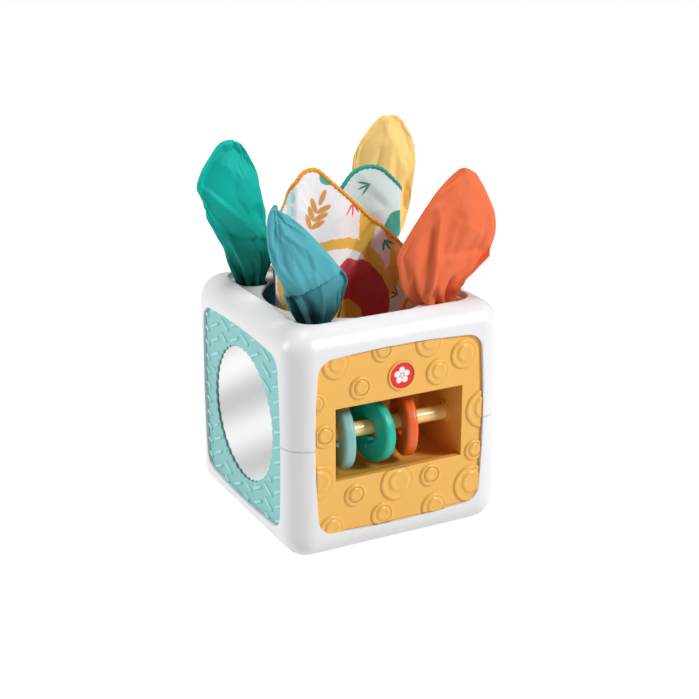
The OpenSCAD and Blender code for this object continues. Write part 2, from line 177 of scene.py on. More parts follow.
class Shader:
    """A material under construction, with its Principled shader."""

    def __init__(self, name: str) -> None:
        """Starts a material.

        Args:
            name: The material's name.
        """
        self.material = bpy.data.materials.new(name)
        self.material.use_nodes = True
        self.tree = self.material.node_tree
        self.surface = self.tree.nodes["Principled BSDF"]

    def node(
        self,
        kind: str,
        settings: dict[str, object] | None = None,
        inputs: dict[str | int, object] | None = None,
        out: str | int = 0,
    ) -> Wire:
        """Adds a node.

        Args:
            kind: The node's type.
            settings: Its properties, which are set first.
            inputs: Wires or values, by socket name or index.
            out: Name or index of the output that is wanted.

        Returns:
            The wanted output.
        """
        made = self.tree.nodes.new(kind)
        for key, value in (settings or {}).items():
            setattr(made, key, value)
        for key, value in (inputs or {}).items():
            self._feed(made.inputs[key], value)
        return Wire(self, made.outputs[out])

    def set(self, **values: object) -> None:
        """Sets or links sockets of the Principled shader.

        Args:
            values: Wires or values, by socket name with _ for a space.
        """
        for key, value in values.items():
            self._feed(self.surface.inputs[key.replace("_", " ")], value)

    def coordinates(self, kind: str = "Object") -> Wire:
        """Gives texture coordinates of the named kind."""
        return self.node("ShaderNodeTexCoord", out=kind)

    def axes(self, kind: str = "Object") -> tuple[Wire, Wire, Wire]:
        """Gives the x, y and z of the texture coordinates of the named kind."""
        split = self.node("ShaderNodeSeparateXYZ", None, {0: self.coordinates(kind)})
        return tuple(Wire(self, socket) for socket in split.socket.node.outputs)

    def noise(self, scale: float, detail: float = 2.0) -> Wire:
        """Gives noise from 0 to 1, with so many features in a metre and so many octaves."""
        inputs = {"Vector": self.coordinates(), "Scale": scale, "Detail": detail}
        return self.node("ShaderNodeTexNoise", None, inputs)

    def mix(self, factor: Wire | float, low: Wire | Colour, high: Wire | Colour) -> Wire:
        """Mixes two colours.

        Args:
            factor: Share of the second colour.
            low: First colour.
            high: Second colour.

        Returns:
            The mixed colour.
        """
        return self.node("ShaderNodeMix", {"data_type": "RGBA"}, {0: factor, 6: low, 7: high}, out=2)

    def bump(self, height: Wire, depth: float, strength: float = 1.0, normal: Wire | None = None) -> Wire:
        """Turns a height into a normal.

        Args:
            height: Height, from 0 to 1.
            depth: Depth of the full height, in metres.
            strength: Strength of the effect.
            normal: Normal to start from.

        Returns:
            The bumped normal.
        """
        inputs = {"Height": height, "Distance": depth, "Strength": strength}
        if normal is not None:
            inputs["Normal"] = normal
        return self.node("ShaderNodeBump", None, inputs)

    def _feed(self, socket: bpy.types.NodeSocket, value: object) -> None:
        """Links a wire to a socket, or sets the socket's value.

        Args:
            socket: The socket.
            value: The wire, number, colour or vector.
        """
        if isinstance(value, Wire):
            self.tree.links.new(value.socket, socket)
        elif isinstance(value, tuple) and len(value) == 3 and socket.type == "RGBA":
            socket.default_value = (*value, 1.0)
        else:
            socket.default_value = value


# ---------------------------------------------------------------- finishes


def shaded(colour: Colour, share: float) -> Colour:
    """Darkens a colour to a share of its brightness."""
    return tuple(channel * share for channel in colour)


@dataclass(frozen=True)
class Plastic:
    """Injection-moulded plastic with a fine grain and softly broken edges."""

    name: str
    colour: Colour
    roughness: float = 0.38
    grain: float = 0.00002
    grain_scale: float = 2600.0
    edge: float = 0.0005
    coat: float = 0.0
    variation: float = 0.05

    def build(self) -> bpy.types.Material:
        """Makes the material.

        Returns:
            The material.
        """
        shader = Shader(self.name)
        cloud = shader.noise(28.0, 3.0)
        fine = shader.noise(self.grain_scale, 2.0)
        rounded = shader.node("ShaderNodeBevel", {"samples": 6}, {"Radius": self.edge})
        shader.set(
            Base_Color=shader.mix(cloud, shaded(self.colour, 1 - self.variation), self.colour),
            Roughness=self.roughness + (shader.noise(160.0, 4.0) - 0.5) * 0.12,
            Normal=shader.bump(fine, self.grain, 0.5, rounded),
            Coat_Weight=self.coat,
            Coat_Roughness=0.2,
            IOR=1.5,
        )
        return shader.material


@dataclass(frozen=True)
class SwirledBall:
    """Glossy plastic with moulded swirls of a second colour."""

    name: str
    colour: Colour
    swirl: Colour

    def build(self) -> bpy.types.Material:
        """Makes the material.

        Returns:
            The material.
        """
        shader = Shader(self.name)
        rings = {"wave_type": "RINGS", "rings_direction": "X"}
        inputs = {"Vector": shader.coordinates(), "Scale": 38.0, "Distortion": 2.2, "Detail": 1.0}
        wave = shader.node("ShaderNodeTexWave", rings, inputs, out="Fac")
        band = ((wave - 0.62) * 14.0).clamped()
        shader.set(
            Base_Color=shader.mix(band, self.colour, self.swirl),
            Roughness=0.22 + band * 0.1,
            Normal=shader.bump(shader.noise(1800.0), 0.00001, 0.4),
            Coat_Weight=0.3,
        )
        return shader.material


@dataclass(frozen=True)
class MirrorSheet:
    """Silvered acrylic with a faint haze and a painted reflection: soft grey bands in its colour.

    The painted reflection's bands repeat after so many metres of height, and lean by a share of the
    depth.
    """

    name: str
    band: float = 0.040
    lean: float = 0.55
    turn: float = -0.31
    dark: Colour = (0.45, 0.45, 0.455)
    light: Colour = (0.76, 0.76, 0.765)

    def build(self) -> bpy.types.Material:
        """Makes the material.

        Returns:
            The material.
        """
        shader = Shader(self.name)
        haze = shader.noise(45.0, 4.0)
        _, across, height = shader.axes()
        # Painted reflection: grey bands in the base colour stand in for the floor and horizon seen in the
        # mirror.
        bands = (height + across * self.lean) * (2 * math.pi / self.band) + self.turn
        painted_reflection = (bands.maths("SINE") * 0.5 + 0.5 + (haze - 0.5) * 0.1).clamped()
        shader.set(
            Base_Color=shader.mix(painted_reflection, self.dark, self.light),
            Metallic=1.0,
            Roughness=0.08 + haze * 0.05,
            Normal=shader.bump(shader.noise(18.0, 1.0), 0.0006, 0.25),
        )
        return shader.material


@dataclass(frozen=True)
class ScrewSteel:
    """Zinc-plated steel with fine brushing."""

    name: str

    def build(self) -> bpy.types.Material:
        """Makes the material.

        Returns:
            The material.
        """
        shader = Shader(self.name)
        fine = shader.noise(4000.0, 3.0)
        shader.set(
            Base_Color=shader.mix(fine, (0.52, 0.53, 0.55), (0.68, 0.69, 0.70)),
            Metallic=1.0,
            Roughness=0.28 + fine * 0.15,
            Normal=shader.bump(fine, 0.00001, 0.5),
        )
        return shader.material


@dataclass(frozen=True)
class ThinCloth:
    """A thin woven polyester with a twill line and a soft sheen.

    It has painted shade towards the lobe's mouth: darker from shade_fades_at down to shade_full_at,
    heights in metres, where painted_shade_share is the share of its brightness that is left. The pitch
    of the twill is in millimetres.
    """

    name: str
    colour: Colour
    pitch: float = 0.45
    cross_pitch: float = 0.82
    shade: float = 0.86
    sheen: float = 0.06
    painted_shade_share: float = 0.3
    shade_full_at: float = 0.118
    shade_fades_at: float = 0.158

    def build(self) -> bpy.types.Material:
        """Makes the material.

        Returns:
            The material.
        """
        shader = Shader(self.name)
        across, along, _ = shader.axes("UV")
        wobble = shader.noise(900.0, 2.0) * 1.2
        twill = ((across + along) * (2 * math.pi / (self.pitch * MM)) + wobble).maths("SINE")
        cross = ((across - along) * (2 * math.pi / (self.cross_pitch * MM))).maths("SINE")
        weave = twill * 0.35 + cross * 0.15 + 0.5
        cloud = shader.noise(60.0, 3.0)
        threads = (weave * 0.5 + cloud * 0.5).clamped()
        woven = shader.mix(threads, shaded(self.colour, self.shade), self.colour)
        # Painted shade: the colour darkens towards the bottom, standing in for the shade in the lobe's
        # mouth.
        height = shader.axes()[2]
        unshaded_share = ((height - self.shade_full_at) * (1 / (self.shade_fades_at - self.shade_full_at))).clamped()
        shader.set(
            Base_Color=shader.mix(unshaded_share, shaded(self.colour, self.painted_shade_share), woven),
            Roughness=0.58 + (cloud - 0.5) * 0.15,
            Normal=shader.bump(weave, 0.00006, 0.45),
            Sheen_Weight=self.sheen,
            Sheen_Roughness=0.4,
            Specular_IOR_Level=0.2,
        )
        return shader.material


@dataclass(frozen=True)
class Print:
    """One printed shape on a sheet.

    Its place and its half width and height are in millimetres, from the sheet's top corner, and its
    angle in degrees. A ring's band is a share of its size.
    """

    at: tuple[float, float]
    size: tuple[float, float]
    angle: float
    colour: Colour
    mark: Mark = Mark.BLOB
    band: float = 0.25
    strength: float = 1.0


@dataclass(frozen=True)
class PrintedCloth:
    """A crinkly printed sheet: a pale ground with printed leaves, twigs and arcs."""

    name: str
    ground: Colour
    prints: tuple[Print, ...]
    edge_softness: float = 0.35
    edge_wobble: float = 0.12
    shade: float = 0.93

    def build(self) -> bpy.types.Material:
        """Makes the material.

        Returns:
            The material.
        """
        shader = Shader(self.name)
        flat = shader.coordinates("UV")
        wobble = shader.noise(220.0, 2.0)
        cloud = shader.noise(55.0, 3.0)
        colour = shader.mix(cloud, shaded(self.ground, self.shade), self.ground)
        for one in self.prints:
            colour = shader.mix(self._mask(shader, flat, wobble, one), colour, one.colour)
        weave = (shader.noise(5200.0, 1.0) * 0.6 + shader.noise(800.0, 2.0) * 0.4).clamped()
        shader.set(
            Base_Color=colour,
            Roughness=0.55 + (cloud - 0.5) * 0.2,
            Normal=shader.bump(weave, 0.00008, 0.5),
            Sheen_Weight=0.15,
        )
        return shader.material

    def _mask(self, shader: Shader, flat: Wire, wobble: Wire, one: Print) -> Wire:
        """Makes the mask of one printed shape.

        Args:
            shader: The material's shader.
            flat: Coordinates on the flat cloth, in metres.
            wobble: Noise that roughens the shape's edge.
            one: The shape.

        Returns:
            The mask, from 0 to 1.
        """
        place = {
            "Vector": flat,
            "Location": (one.at[0] * MM, one.at[1] * MM, 0.0),
            "Rotation": (0.0, 0.0, math.radians(one.angle)),
            "Scale": (one.size[0] * MM, one.size[1] * MM, 1.0),
        }
        placed = shader.node("ShaderNodeMapping", {"vector_type": "TEXTURE"}, place)
        reach = shader.node("ShaderNodeVectorMath", {"operation": "LENGTH"}, {0: placed}, out="Value")
        reach = reach + (wobble - 0.5) * self.edge_wobble
        sharp = min(one.size) / self.edge_softness
        mask = ((1.0 - reach) * sharp + 0.5).clamped()
        if one.mark is Mark.RING:
            hole = ((1.0 - one.band - reach) * sharp + 0.5).clamped()
            mask = (mask - hole).clamped()
        return mask * one.strength


@dataclass(frozen=True)
class Cording:
    """The twisted cord that edges a sheet."""

    name: str
    colour: Colour
    shade: float = 0.7

    def build(self) -> bpy.types.Material:
        """Makes the material.

        Returns:
            The material.
        """
        shader = Shader(self.name)
        fine = shader.noise(1500.0, 3.0)
        shader.set(
            Base_Color=shader.mix(fine, shaded(self.colour, self.shade), self.colour),
            Roughness=0.7,
            Normal=shader.bump(fine, 0.00015, 0.6),
            Sheen_Weight=0.1,
        )
        return shader.material


# ---------------------------------------------------------------- meshes


def as_piece(name: str, mesh: bpy.types.Mesh, material: bpy.types.Material) -> bpy.types.Object:
    """Makes a smooth-shaded object of a mesh in the row frame.

    Args:
        name: The piece's name.
        mesh: Its mesh, in metres.
        material: Its material.

    Returns:
        The object.
    """
    mesh.polygons.foreach_set("use_smooth", [True] * len(mesh.polygons))
    mesh.materials.append(material)
    piece = bpy.data.objects.new(name, mesh)
    bpy.context.scene.collection.objects.link(piece)
    return piece


def new_piece(
    name: str,
    points: np.ndarray,
    faces: Iterable[Sequence[int]],
    material: bpy.types.Material,
) -> bpy.types.Object:
    """Makes a smooth-shaded object of points and faces.

    Args:
        name: The piece's name.
        points: Its points, in metres.
        faces: Its faces, as point numbers.
        material: Its material.

    Returns:
        The object.
    """
    mesh = bpy.data.meshes.new(name)
    mesh.from_pydata([tuple(map(float, p)) for p in points], [], [tuple(map(int, f)) for f in faces])
    return as_piece(name, mesh, material)


def grid_faces(
    rows: int,
    columns: int,
    wraps: bool = False,
    closes: bool = False,
    first: int = 0,
) -> list[tuple[int, int, int, int]]:
    """Makes the faces of a grid of points that are numbered row by row.

    Args:
        rows: Rows of points.
        columns: Points in a row.
        wraps: Whether each row closes on itself.
        closes: Whether the last row joins the first.
        first: Number of the first point.

    Returns:
        The four-sided faces.
    """
    faces = []
    for i in range(rows if closes else rows - 1):
        near = first + i * columns
        far = first + (i + 1) % rows * columns
        for k in range(columns if wraps else columns - 1):
            j = (k + 1) % columns
            faces.append((near + k, near + j, far + j, far + k))
    return faces


def read_points(piece: bpy.types.Object) -> np.ndarray:
    """Reads a piece's points as rows."""
    return np.array([v.co for v in piece.data.vertices])


def move_points(piece: bpy.types.Object, points: np.ndarray) -> None:
    """Puts a piece's points in new places, given as rows."""
    piece.data.vertices.foreach_set("co", points.astype(np.float32).ravel())
    piece.data.update()


def apply_modifiers(piece: bpy.types.Object) -> None:
    """Replaces a piece's mesh with what its modifiers make of it.

    Args:
        piece: The piece, which is left with no modifiers.
    """
    graph = bpy.context.evaluated_depsgraph_get()
    mesh = bpy.data.meshes.new_from_object(piece.evaluated_get(graph))
    piece.modifiers.clear()
    piece.data = mesh


def thicken(piece: bpy.types.Object, thickness: float) -> None:
    """Gives a sheet its thickness, half of it on each side.

    Args:
        piece: The sheet's surface.
        thickness: Its thickness, in millimetres.
    """
    solid = piece.modifiers.new("thickness", "SOLIDIFY")
    solid.thickness = thickness * MM
    solid.offset = 0.0
    apply_modifiers(piece)


def distances(line: np.ndarray) -> np.ndarray:
    """Gives the distance along a line of each of its points."""
    return np.concatenate([[0], np.cumsum(np.linalg.norm(np.diff(line, axis=0), axis=1))])


def on_line(line: np.ndarray, places: np.ndarray) -> np.ndarray:
    """Finds the points at given distances along a line."""
    run = distances(line)
    return np.stack([np.interp(places, run, line[:, k]) for k in range(line.shape[1])], axis=-1)


def smooth_curve(stations: np.ndarray, places: np.ndarray) -> np.ndarray:
    """Runs a smooth curve through stations.

    Args:
        stations: Rows whose first number is the place and whose others are values.
        places: Places at which the values are wanted.

    Returns:
        A row of values for each place.
    """
    knots = stations[:, 0]
    values = stations[:, 1:]
    slopes = np.gradient(values, knots, axis=0)
    index = np.clip(np.searchsorted(knots, places) - 1, 0, len(knots) - 2)
    width = (knots[index + 1] - knots[index])[:, None]
    t = ((places - knots[index])[:, None]) / width
    return (
        (2 * t**3 - 3 * t**2 + 1) * values[index]
        + (t**3 - 2 * t**2 + t) * width * slopes[index]
        + (3 * t**2 - 2 * t**3) * values[index + 1]
        + (t**3 - t**2) * width * slopes[index + 1]
    )


def crease_noise(
    points: np.ndarray,
    seed: int,
    count: int,
    pitch: tuple[float, float],
    depth: float,
) -> np.ndarray:
    """Gives a height field of many straight creases, as in crumpled thin cloth.

    Args:
        points: Points, in metres.
        seed: Seed of the random directions.
        count: How many sets of creases.
        pitch: Least and greatest distance between creases, in millimetres.
        depth: Typical depth of the sum, in millimetres.

    Returns:
        A height for each point, in metres.
    """
    random = np.random.default_rng(seed)
    total = np.zeros(len(points))
    for _ in range(count):
        direction = random.normal(size=3)
        direction /= np.linalg.norm(direction)
        step = random.uniform(*pitch) * MM
        fold = (points @ direction / step + random.uniform(0, 1)) % 1.0
        total += (np.abs(fold - 0.5) * 2 - 0.5) * random.uniform(0.3, 1.0)
    return total * depth * MM / math.sqrt(count) * 2


@dataclass
class BarField:
    """Raised rounded bars on a side of the cube, joined in one mesh.

    place takes the side's axes (across, up, outwards) to the row frame, and face is how far
    outwards the bars lie, in millimetres. They sink a little into the face.
    """

    place: Matrix
    face: float
    around: int = 7
    cap_steps: int = 3
    sink: float = 0.05
    points: list[Vector] = field(default_factory=list)
    faces: list[tuple[int, ...]] = field(default_factory=list)

    def add(self, start: Sequence[float], end: Sequence[float], width: float, height: float) -> None:
        """Adds a bar with round ends.

        Args:
            start: One end (across, up), in millimetres.
            end: The other end.
            width: Width in millimetres.
            height: Height in millimetres.
        """
        a, b = Vector(start), Vector(end)
        run = (b - a).normalized()
        across = Vector((-run.y, run.x))
        half = (b - a).length / 2
        cap = width / 2
        quarter = math.pi / 2 / self.cap_steps
        ends = [half - cap * (1 - math.sin(quarter * i)) for i in range(self.cap_steps + 1)]
        places = [-p for p in reversed(ends)] + ends
        self.faces += grid_faces(len(places), self.around, first=len(self.points))
        for place in places:
            over = max(0.0, abs(place) - (half - cap)) / cap
            share = math.sqrt(max(0.0, 1 - over * over)) or 0.02
            for k in range(self.around):
                turn = math.pi * k / (self.around - 1)
                spot = (a + b) / 2 + run * place + across * (cap * share * math.cos(turn))
                out = height * share * math.sin(turn) - self.sink
                self.points.append(Vector((spot.x, spot.y, self.face + out)))

    def build(self, name: str, material: bpy.types.Material) -> bpy.types.Object:
        """Makes the mesh object of all the bars."""
        points = np.array([self.place @ (p * MM) for p in self.points])
        return new_piece(name, points, self.faces, material)


# ---------------------------------------------------------------- sub-assemblies


@dataclass
class Assembly:
    """What every sub-assembly does: it dresses CAD nodes and adds pieces to the frame."""

    frame: dict

    @property
    def face(self) -> float:
        """How far each panel's face is from the cube's middle, in millimetres."""
        return -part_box("mirror_panel")[0].x / MM

    def side_matrix(self, side: Side) -> Matrix:
        """Makes the matrix from a side's own axes (across, up, outwards) to the row frame.

        Args:
            side: The side.

        Returns:
            The matrix, for points in metres.
        """
        middle = Matrix.Translation((0, 0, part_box("upper_shell")[1].z / 2))
        turn = Matrix.Rotation(math.radians(side.value), 4, "Z")
        return middle @ turn @ Matrix.Rotation(math.pi / 2, 4, "X")

    def bars(self, side: Side) -> BarField:
        """Starts a field of raised bars on a side's panel."""
        return BarField(self.side_matrix(side), self.face)

    def dress(self, node: str, material: bpy.types.Material) -> None:
        """Gives a CAD node a material.

        Args:
            node: The node's name.
            material: The material.
        """
        part = self.frame["nodes"][node]
        if not part.material_slots:
            part.data.materials.append(material)
        for slot in part.material_slots:
            slot.material = material
        log.info("dressed %s with %s", node, material.name)

    def add(self, piece: bpy.types.Object, body: str, slot: str) -> None:
        """Puts a new piece on its body and reports it.

        Args:
            piece: The piece.
            body: The body that it rides on.
            slot: The record's material slot. Not used.
        """
        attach(piece, body)
        log.info("built %s", piece.name)


@dataclass
class Casing(Assembly):
    """The two white shells and every screw."""

    shell: Plastic = Plastic(
        "white_shell", (0.80, 0.80, 0.815), roughness=0.36, edge=0.0009, variation=0.02
    )
    steel: ScrewSteel = ScrewSteel("screw_steel")
    white_nodes: tuple[str, ...] = ("upper_shell", "lower_shell", "mirror_backplate", "roller_cup")
    steel_nodes: tuple[str, ...] = (
        "shell_screws", "mirror_screws", "tub_screws", "cup_screws",
        "axle_cap", "roller_pin", "spinner_washer", "spinner_screw",
    )

    def build(self) -> None:
        """Dresses the shells, the screws and the other metal pieces."""
        for finish, nodes in ((self.shell, self.white_nodes), (self.steel, self.steel_nodes)):
            material = finish.build()
            for node in nodes:
                self.dress(node, material)


@dataclass
class MirrorSide(Assembly):
    """The teal panel with its mirror and its herringbone of raised dashes.

    The dashes stand in columns that lean one way and the other by turns. A dash is cut off where it
    would run past the panel's half width or into the hole.
    """

    panel: Plastic = Plastic(
        "teal_panel", (0.235, 0.56, 0.555), roughness=0.5, grain=0.00004, variation=0.06
    )
    # Painted highlight: the dashes take a lighter teal than the panel, standing in for light on their
    # tops.
    dash_highlight: Plastic = Plastic("teal_painted_highlight", (0.34, 0.72, 0.71), roughness=0.38)
    mirror: MirrorSheet = MirrorSheet("mirror_sheet")
    column_pitch: float = 13.1
    row_pitch: float = 8.3
    first_dash: tuple[float, float] = (4.4, 1.7)
    dash_length: float = 10.5
    dash_width: float = 2.1
    dash_height: float = 1.0
    tilt: float = 25.0
    half: float = 48.6
    hole: float = 38.6

    def build(self) -> None:
        """Dresses the panel and the mirror, and builds the dashes."""
        self.dress("mirror_panel", self.panel.build())
        self.dress("mirror", self.mirror.build())
        dashes = self.bars(Side.LEFT)
        across, up = self.first_dash
        columns = int(self.half // self.column_pitch) + 1
        rows = int(self.half // self.row_pitch) + 1
        for i in range(-columns, columns + 1):
            lean = self.tilt if i % 2 else -self.tilt
            lift = self.row_pitch / 2 if i % 2 else 0.0
            for j in range(-rows, rows + 1):
                centre = Vector((across + i * self.column_pitch, j * self.row_pitch + lift + up))
                self._add_dash(dashes, centre, lean)
        self.add(dashes.build("mirror_dashes", self.dash_highlight.build()), "cube", "teal_plastic")

    def _add_dash(self, bars: BarField, centre: Vector, lean: float) -> None:
        """Adds the part of a dash that lies on the panel.

        Args:
            bars: The field of bars to add to.
            centre: The dash's centre, in millimetres.
            lean: Its angle, in degrees.
        """
        run = Vector((math.cos(math.radians(lean)), math.sin(math.radians(lean))))
        steps = 21
        spots = [centre + run * (self.dash_length * (k / (steps - 1) - 0.5)) for k in range(steps)]
        kept = [s for s in spots if max(abs(s.x), abs(s.y)) < self.half and s.length > self.hole]
        if len(kept) > steps // 3:
            bars.add(kept[0], kept[-1], self.dash_width, self.dash_height)


@dataclass
class RingSide(Assembly):
    """The yellow panel with its window, tub, axle, rings and badge.

    Each bubble is a place on the panel (across, up) and a radius. Its raised core is core_share of
    that radius, and sits higher than its middle by bubble_shift of it.
    """

    amber: Plastic = Plastic(
        "amber_plastic", (0.86, 0.46, 0.085), roughness=0.34, edge=0.0006, variation=0.04
    )
    axle: Plastic = Plastic("amber_axle", (0.95, 0.68, 0.26), roughness=0.24, coat=0.3)
    blue: Plastic = Plastic("ring_blue_plastic", (0.24, 0.52, 0.54), roughness=0.4)
    green: Plastic = Plastic("ring_green_plastic", (0.0, 0.46, 0.34), roughness=0.4)
    orange: Plastic = Plastic("ring_orange_plastic", (0.84, 0.125, 0.015), roughness=0.38)
    badge: Plastic = Plastic("badge_red", (0.78, 0.012, 0.006), roughness=0.42)
    flower: Plastic = Plastic("flower_white", (0.90, 0.90, 0.90), roughness=0.4)
    bubbles: tuple[tuple[float, float, float], ...] = (
        (-36.5, 44, 7.8), (-23, 29, 6.1), (-10.5, 47, 6), (16.5, 47, 7.8), (22, 30, 6.9),
        (37.5, 37, 7.9), (50, 4.5, 10.5), (45, -18.5, 5.7), (43.5, -37.5, 10.4),
        (18.5, -27.5, 6.2), (21, -46, 7.5), (-1, -27.5, 10), (-10, -44, 6.6),
        (-26, -29.5, 6.1), (-47, -18.5, 9.5), (-39.5, -45.5, 7), (-43.5, 6.5, 6.1), (-48, 24.5, 5.7),
    )
    core_share: float = 0.56
    bubble_shift: float = 0.1
    bubble_around: int = 48
    skirt: float = 0.1
    panel_half: float = 48.3
    window_half: float = 19.9
    petals: int = 5
    petal_at: float = 2.9
    petal_radius: float = 1.75
    heart_share: float = 0.62
    relief: float = 0.18
    dome_sink: float = 0.04
    dome_around: int = 28
    dome_rings: int = 4

    def build(self) -> None:
        """Dresses the CAD nodes, and builds the bubbles and the flower on the badge."""
        amber = self.amber.build()
        self.dress("ring_panel", amber)
        self.dress("ring_tub", amber)
        self.dress("ring_axle", self.axle.build())
        self.dress("ring_blue", self.blue.build())
        self.dress("ring_green", self.green.build())
        self.dress("ring_orange", self.orange.build())
        self.dress("badge", self.badge.build())
        self._build_flower()
        self._build_bubbles(amber)

    def _build_bubbles(self, material: bpy.types.Material) -> None:
        """Builds the soft round relief of the bubbles on the panel.

        Args:
            material: The panel's material.
        """
        name = "ring_panel_bubbles"
        relief = bmesh.new()
        for across, up, radius in self.bubbles:
            self._add_bubble(relief, Vector((across, up, self.face)), radius)
        relief.transform(self.side_matrix(Side.FRONT) @ Matrix.Scale(MM, 4))
        mesh = bpy.data.meshes.new(name)
        relief.to_mesh(mesh)
        relief.free()
        self.add(as_piece(name, mesh, material), "cube", "amber_plastic")

    def _bubble_profile(self, radius: float) -> list[tuple[float, float, float]]:
        """Gives a bubble's section from its foot to its middle: a low rim, a groove and a core.

        Args:
            radius: The bubble's radius.

        Returns:
            Rows of a distance from the middle, a height, and a share of the core's shift.
        """
        core = self.core_share * radius
        section = (
            (radius + 0.45, -0.1), (radius + 0.1, 0.45), (radius - 0.35, 0.95), (radius - 0.9, 1.12),
            (radius - 1.5, 1.02), (radius - 2.0, 0.84), (core + 0.9, 0.8), (core + 0.45, 0.95),
            (core + 0.1, 1.3), (core - 0.35, 1.56), (core - 0.9, 1.64), (core - 1.4, 1.56),
            (core - 1.9, 1.44), (0.25 * core, 1.4),
        )
        shares = [(radius - reach) / (radius - core) for reach, _ in section]
        return [(*step, max(0.0, min(1.0, share))) for step, share in zip(section, shares)]

    def _add_bubble(self, target: bmesh.types.BMesh, centre: Vector, radius: float) -> None:
        """Adds a bubble, cut off at the edges of the panel and of the window.

        Args:
            target: The mesh to add it to, in millimetres on the side.
            centre: Its centre on the panel's face.
            radius: Its radius.
        """
        turns = [2 * math.pi * k / self.bubble_around for k in range(self.bubble_around)]
        round_points = [Vector((math.cos(turn), math.sin(turn), 0)) for turn in turns]
        bubble = bmesh.new()
        rows = []
        for reach, height, share in self._bubble_profile(radius):
            shift = self.bubble_shift * radius * share
            middle = centre + Vector((shift * 0.4, shift, height))
            rows.append([bubble.verts.new(middle + spot * reach) for spot in round_points])
        for near, far in zip(rows, rows[1:]):
            for k in range(self.bubble_around):
                j = (k + 1) % self.bubble_around
                bubble.faces.new((near[k], near[j], far[j], far[k]))
        bubble.faces.new(rows[-1])
        cuts = [(Vector((sign * self.panel_half, 0, 0)), Vector((sign, 0, 0))) for sign in (-1, 1)]
        cuts += [(Vector((0, sign * self.panel_half, 0)), Vector((0, sign, 0))) for sign in (-1, 1)]
        if abs(centre.y) > self.window_half:
            sign = math.copysign(1, centre.y)
            cuts.append((Vector((0, sign * self.window_half, 0)), Vector((0, -sign, 0))))
        for spot, normal in cuts:
            self._cut(bubble, spot, normal, centre.z)
        part = bpy.data.meshes.new("bubble")
        bubble.to_mesh(part)
        bubble.free()
        target.from_mesh(part)
        bpy.data.meshes.remove(part)

    def _cut(self, mesh: bmesh.types.BMesh, spot: Vector, normal: Vector, face: float) -> None:
        """Cuts a bubble off at a plane, and closes the cut with a wall down to the panel.

        Args:
            mesh: The bubble.
            spot: A point on the plane.
            normal: The side of the plane that is taken away.
            face: Depth of the panel's face.
        """
        whole = mesh.verts[:] + mesh.edges[:] + mesh.faces[:]
        cut = bmesh.ops.bisect_plane(mesh, geom=whole, plane_co=spot, plane_no=normal, clear_outer=True)
        edges = [g for g in cut["geom_cut"] if isinstance(g, bmesh.types.BMEdge)]
        if edges:
            made = bmesh.ops.extrude_edge_only(mesh, edges=edges)
            for vertex in (g for g in made["geom"] if isinstance(g, bmesh.types.BMVert)):
                vertex.co.z = face - self.skirt

    def _build_flower(self) -> None:
        """Builds a plain flower of low domes on the badge."""
        low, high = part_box("badge")
        centre = Vector(((low.x + high.x) / 2, low.y, (low.z + high.z) / 2))
        spots = [(0.0, 0.0, self.petal_radius * self.heart_share)]
        for k in range(self.petals):
            turn = math.pi / 2 + 2 * math.pi * k / self.petals
            across, up = self.petal_at * math.cos(turn), self.petal_at * math.sin(turn)
            spots.append((across, up, self.petal_radius))
        points: list[tuple] = []
        faces: list[tuple[int, ...]] = []
        for across, up, radius in spots:
            faces += grid_faces(self.dome_rings + 1, self.dome_around, wraps=True, first=len(points))
            points += self._dome_points(centre, across, up, radius)
        piece = new_piece("badge_flower", np.array(points), faces, self.flower.build())
        self.add(piece, "cube", "shell_white")

    def _dome_points(self, centre: Vector, across: float, up: float, radius: float) -> list[tuple]:
        """Makes the points of a low round dome, ring by ring from its foot.

        Args:
            centre: The badge's centre, in metres.
            across: The dome's place across the badge, in millimetres.
            up: Its place up the badge.
            radius: Its radius.

        Returns:
            The points, in metres.
        """
        points = []
        for i in range(self.dome_rings + 1):
            rise = math.pi / 2 * i / self.dome_rings
            reach = radius * math.cos(rise)
            lift = self.relief * math.sin(rise) - self.dome_sink
            for k in range(self.dome_around):
                turn = 2 * math.pi * k / self.dome_around
                x = across + reach * math.cos(turn)
                z = up + reach * math.sin(turn)
                points.append((centre.x + x * MM, centre.y - lift * MM, centre.z + z * MM))
        return points


@dataclass
class RollerSide(Assembly):
    """The petrol panel with rays round its captive ball, long and short by turns."""

    panel: Plastic = Plastic("petrol_panel", (0.045, 0.26, 0.32), roughness=0.48, grain=0.00004)
    ball: SwirledBall = SwirledBall("roller_ball", (0.88, 0.50, 0.10), (0.86, 0.16, 0.05))
    rays: int = 24
    ray_from: float = 27.5
    long_ray_to: float = 43.0
    short_ray_to: float = 38.0
    ray_width: float = 2.4
    ray_height: float = 0.8

    def build(self) -> None:
        """Dresses the CAD nodes and builds the rays."""
        material = self.panel.build()
        self.dress("roller_panel", material)
        self.dress("roller_ball", self.ball.build())
        rays = self.bars(Side.REAR)
        for k in range(self.rays):
            turn = 2 * math.pi * k / self.rays
            out = Vector((math.cos(turn), math.sin(turn)))
            reach = self.long_ray_to if k % 2 else self.short_ray_to
            rays.add(out * self.ray_from, out * reach, self.ray_width, self.ray_height)
        self.add(rays.build("roller_rays", material), "cube", "petrol_plastic")


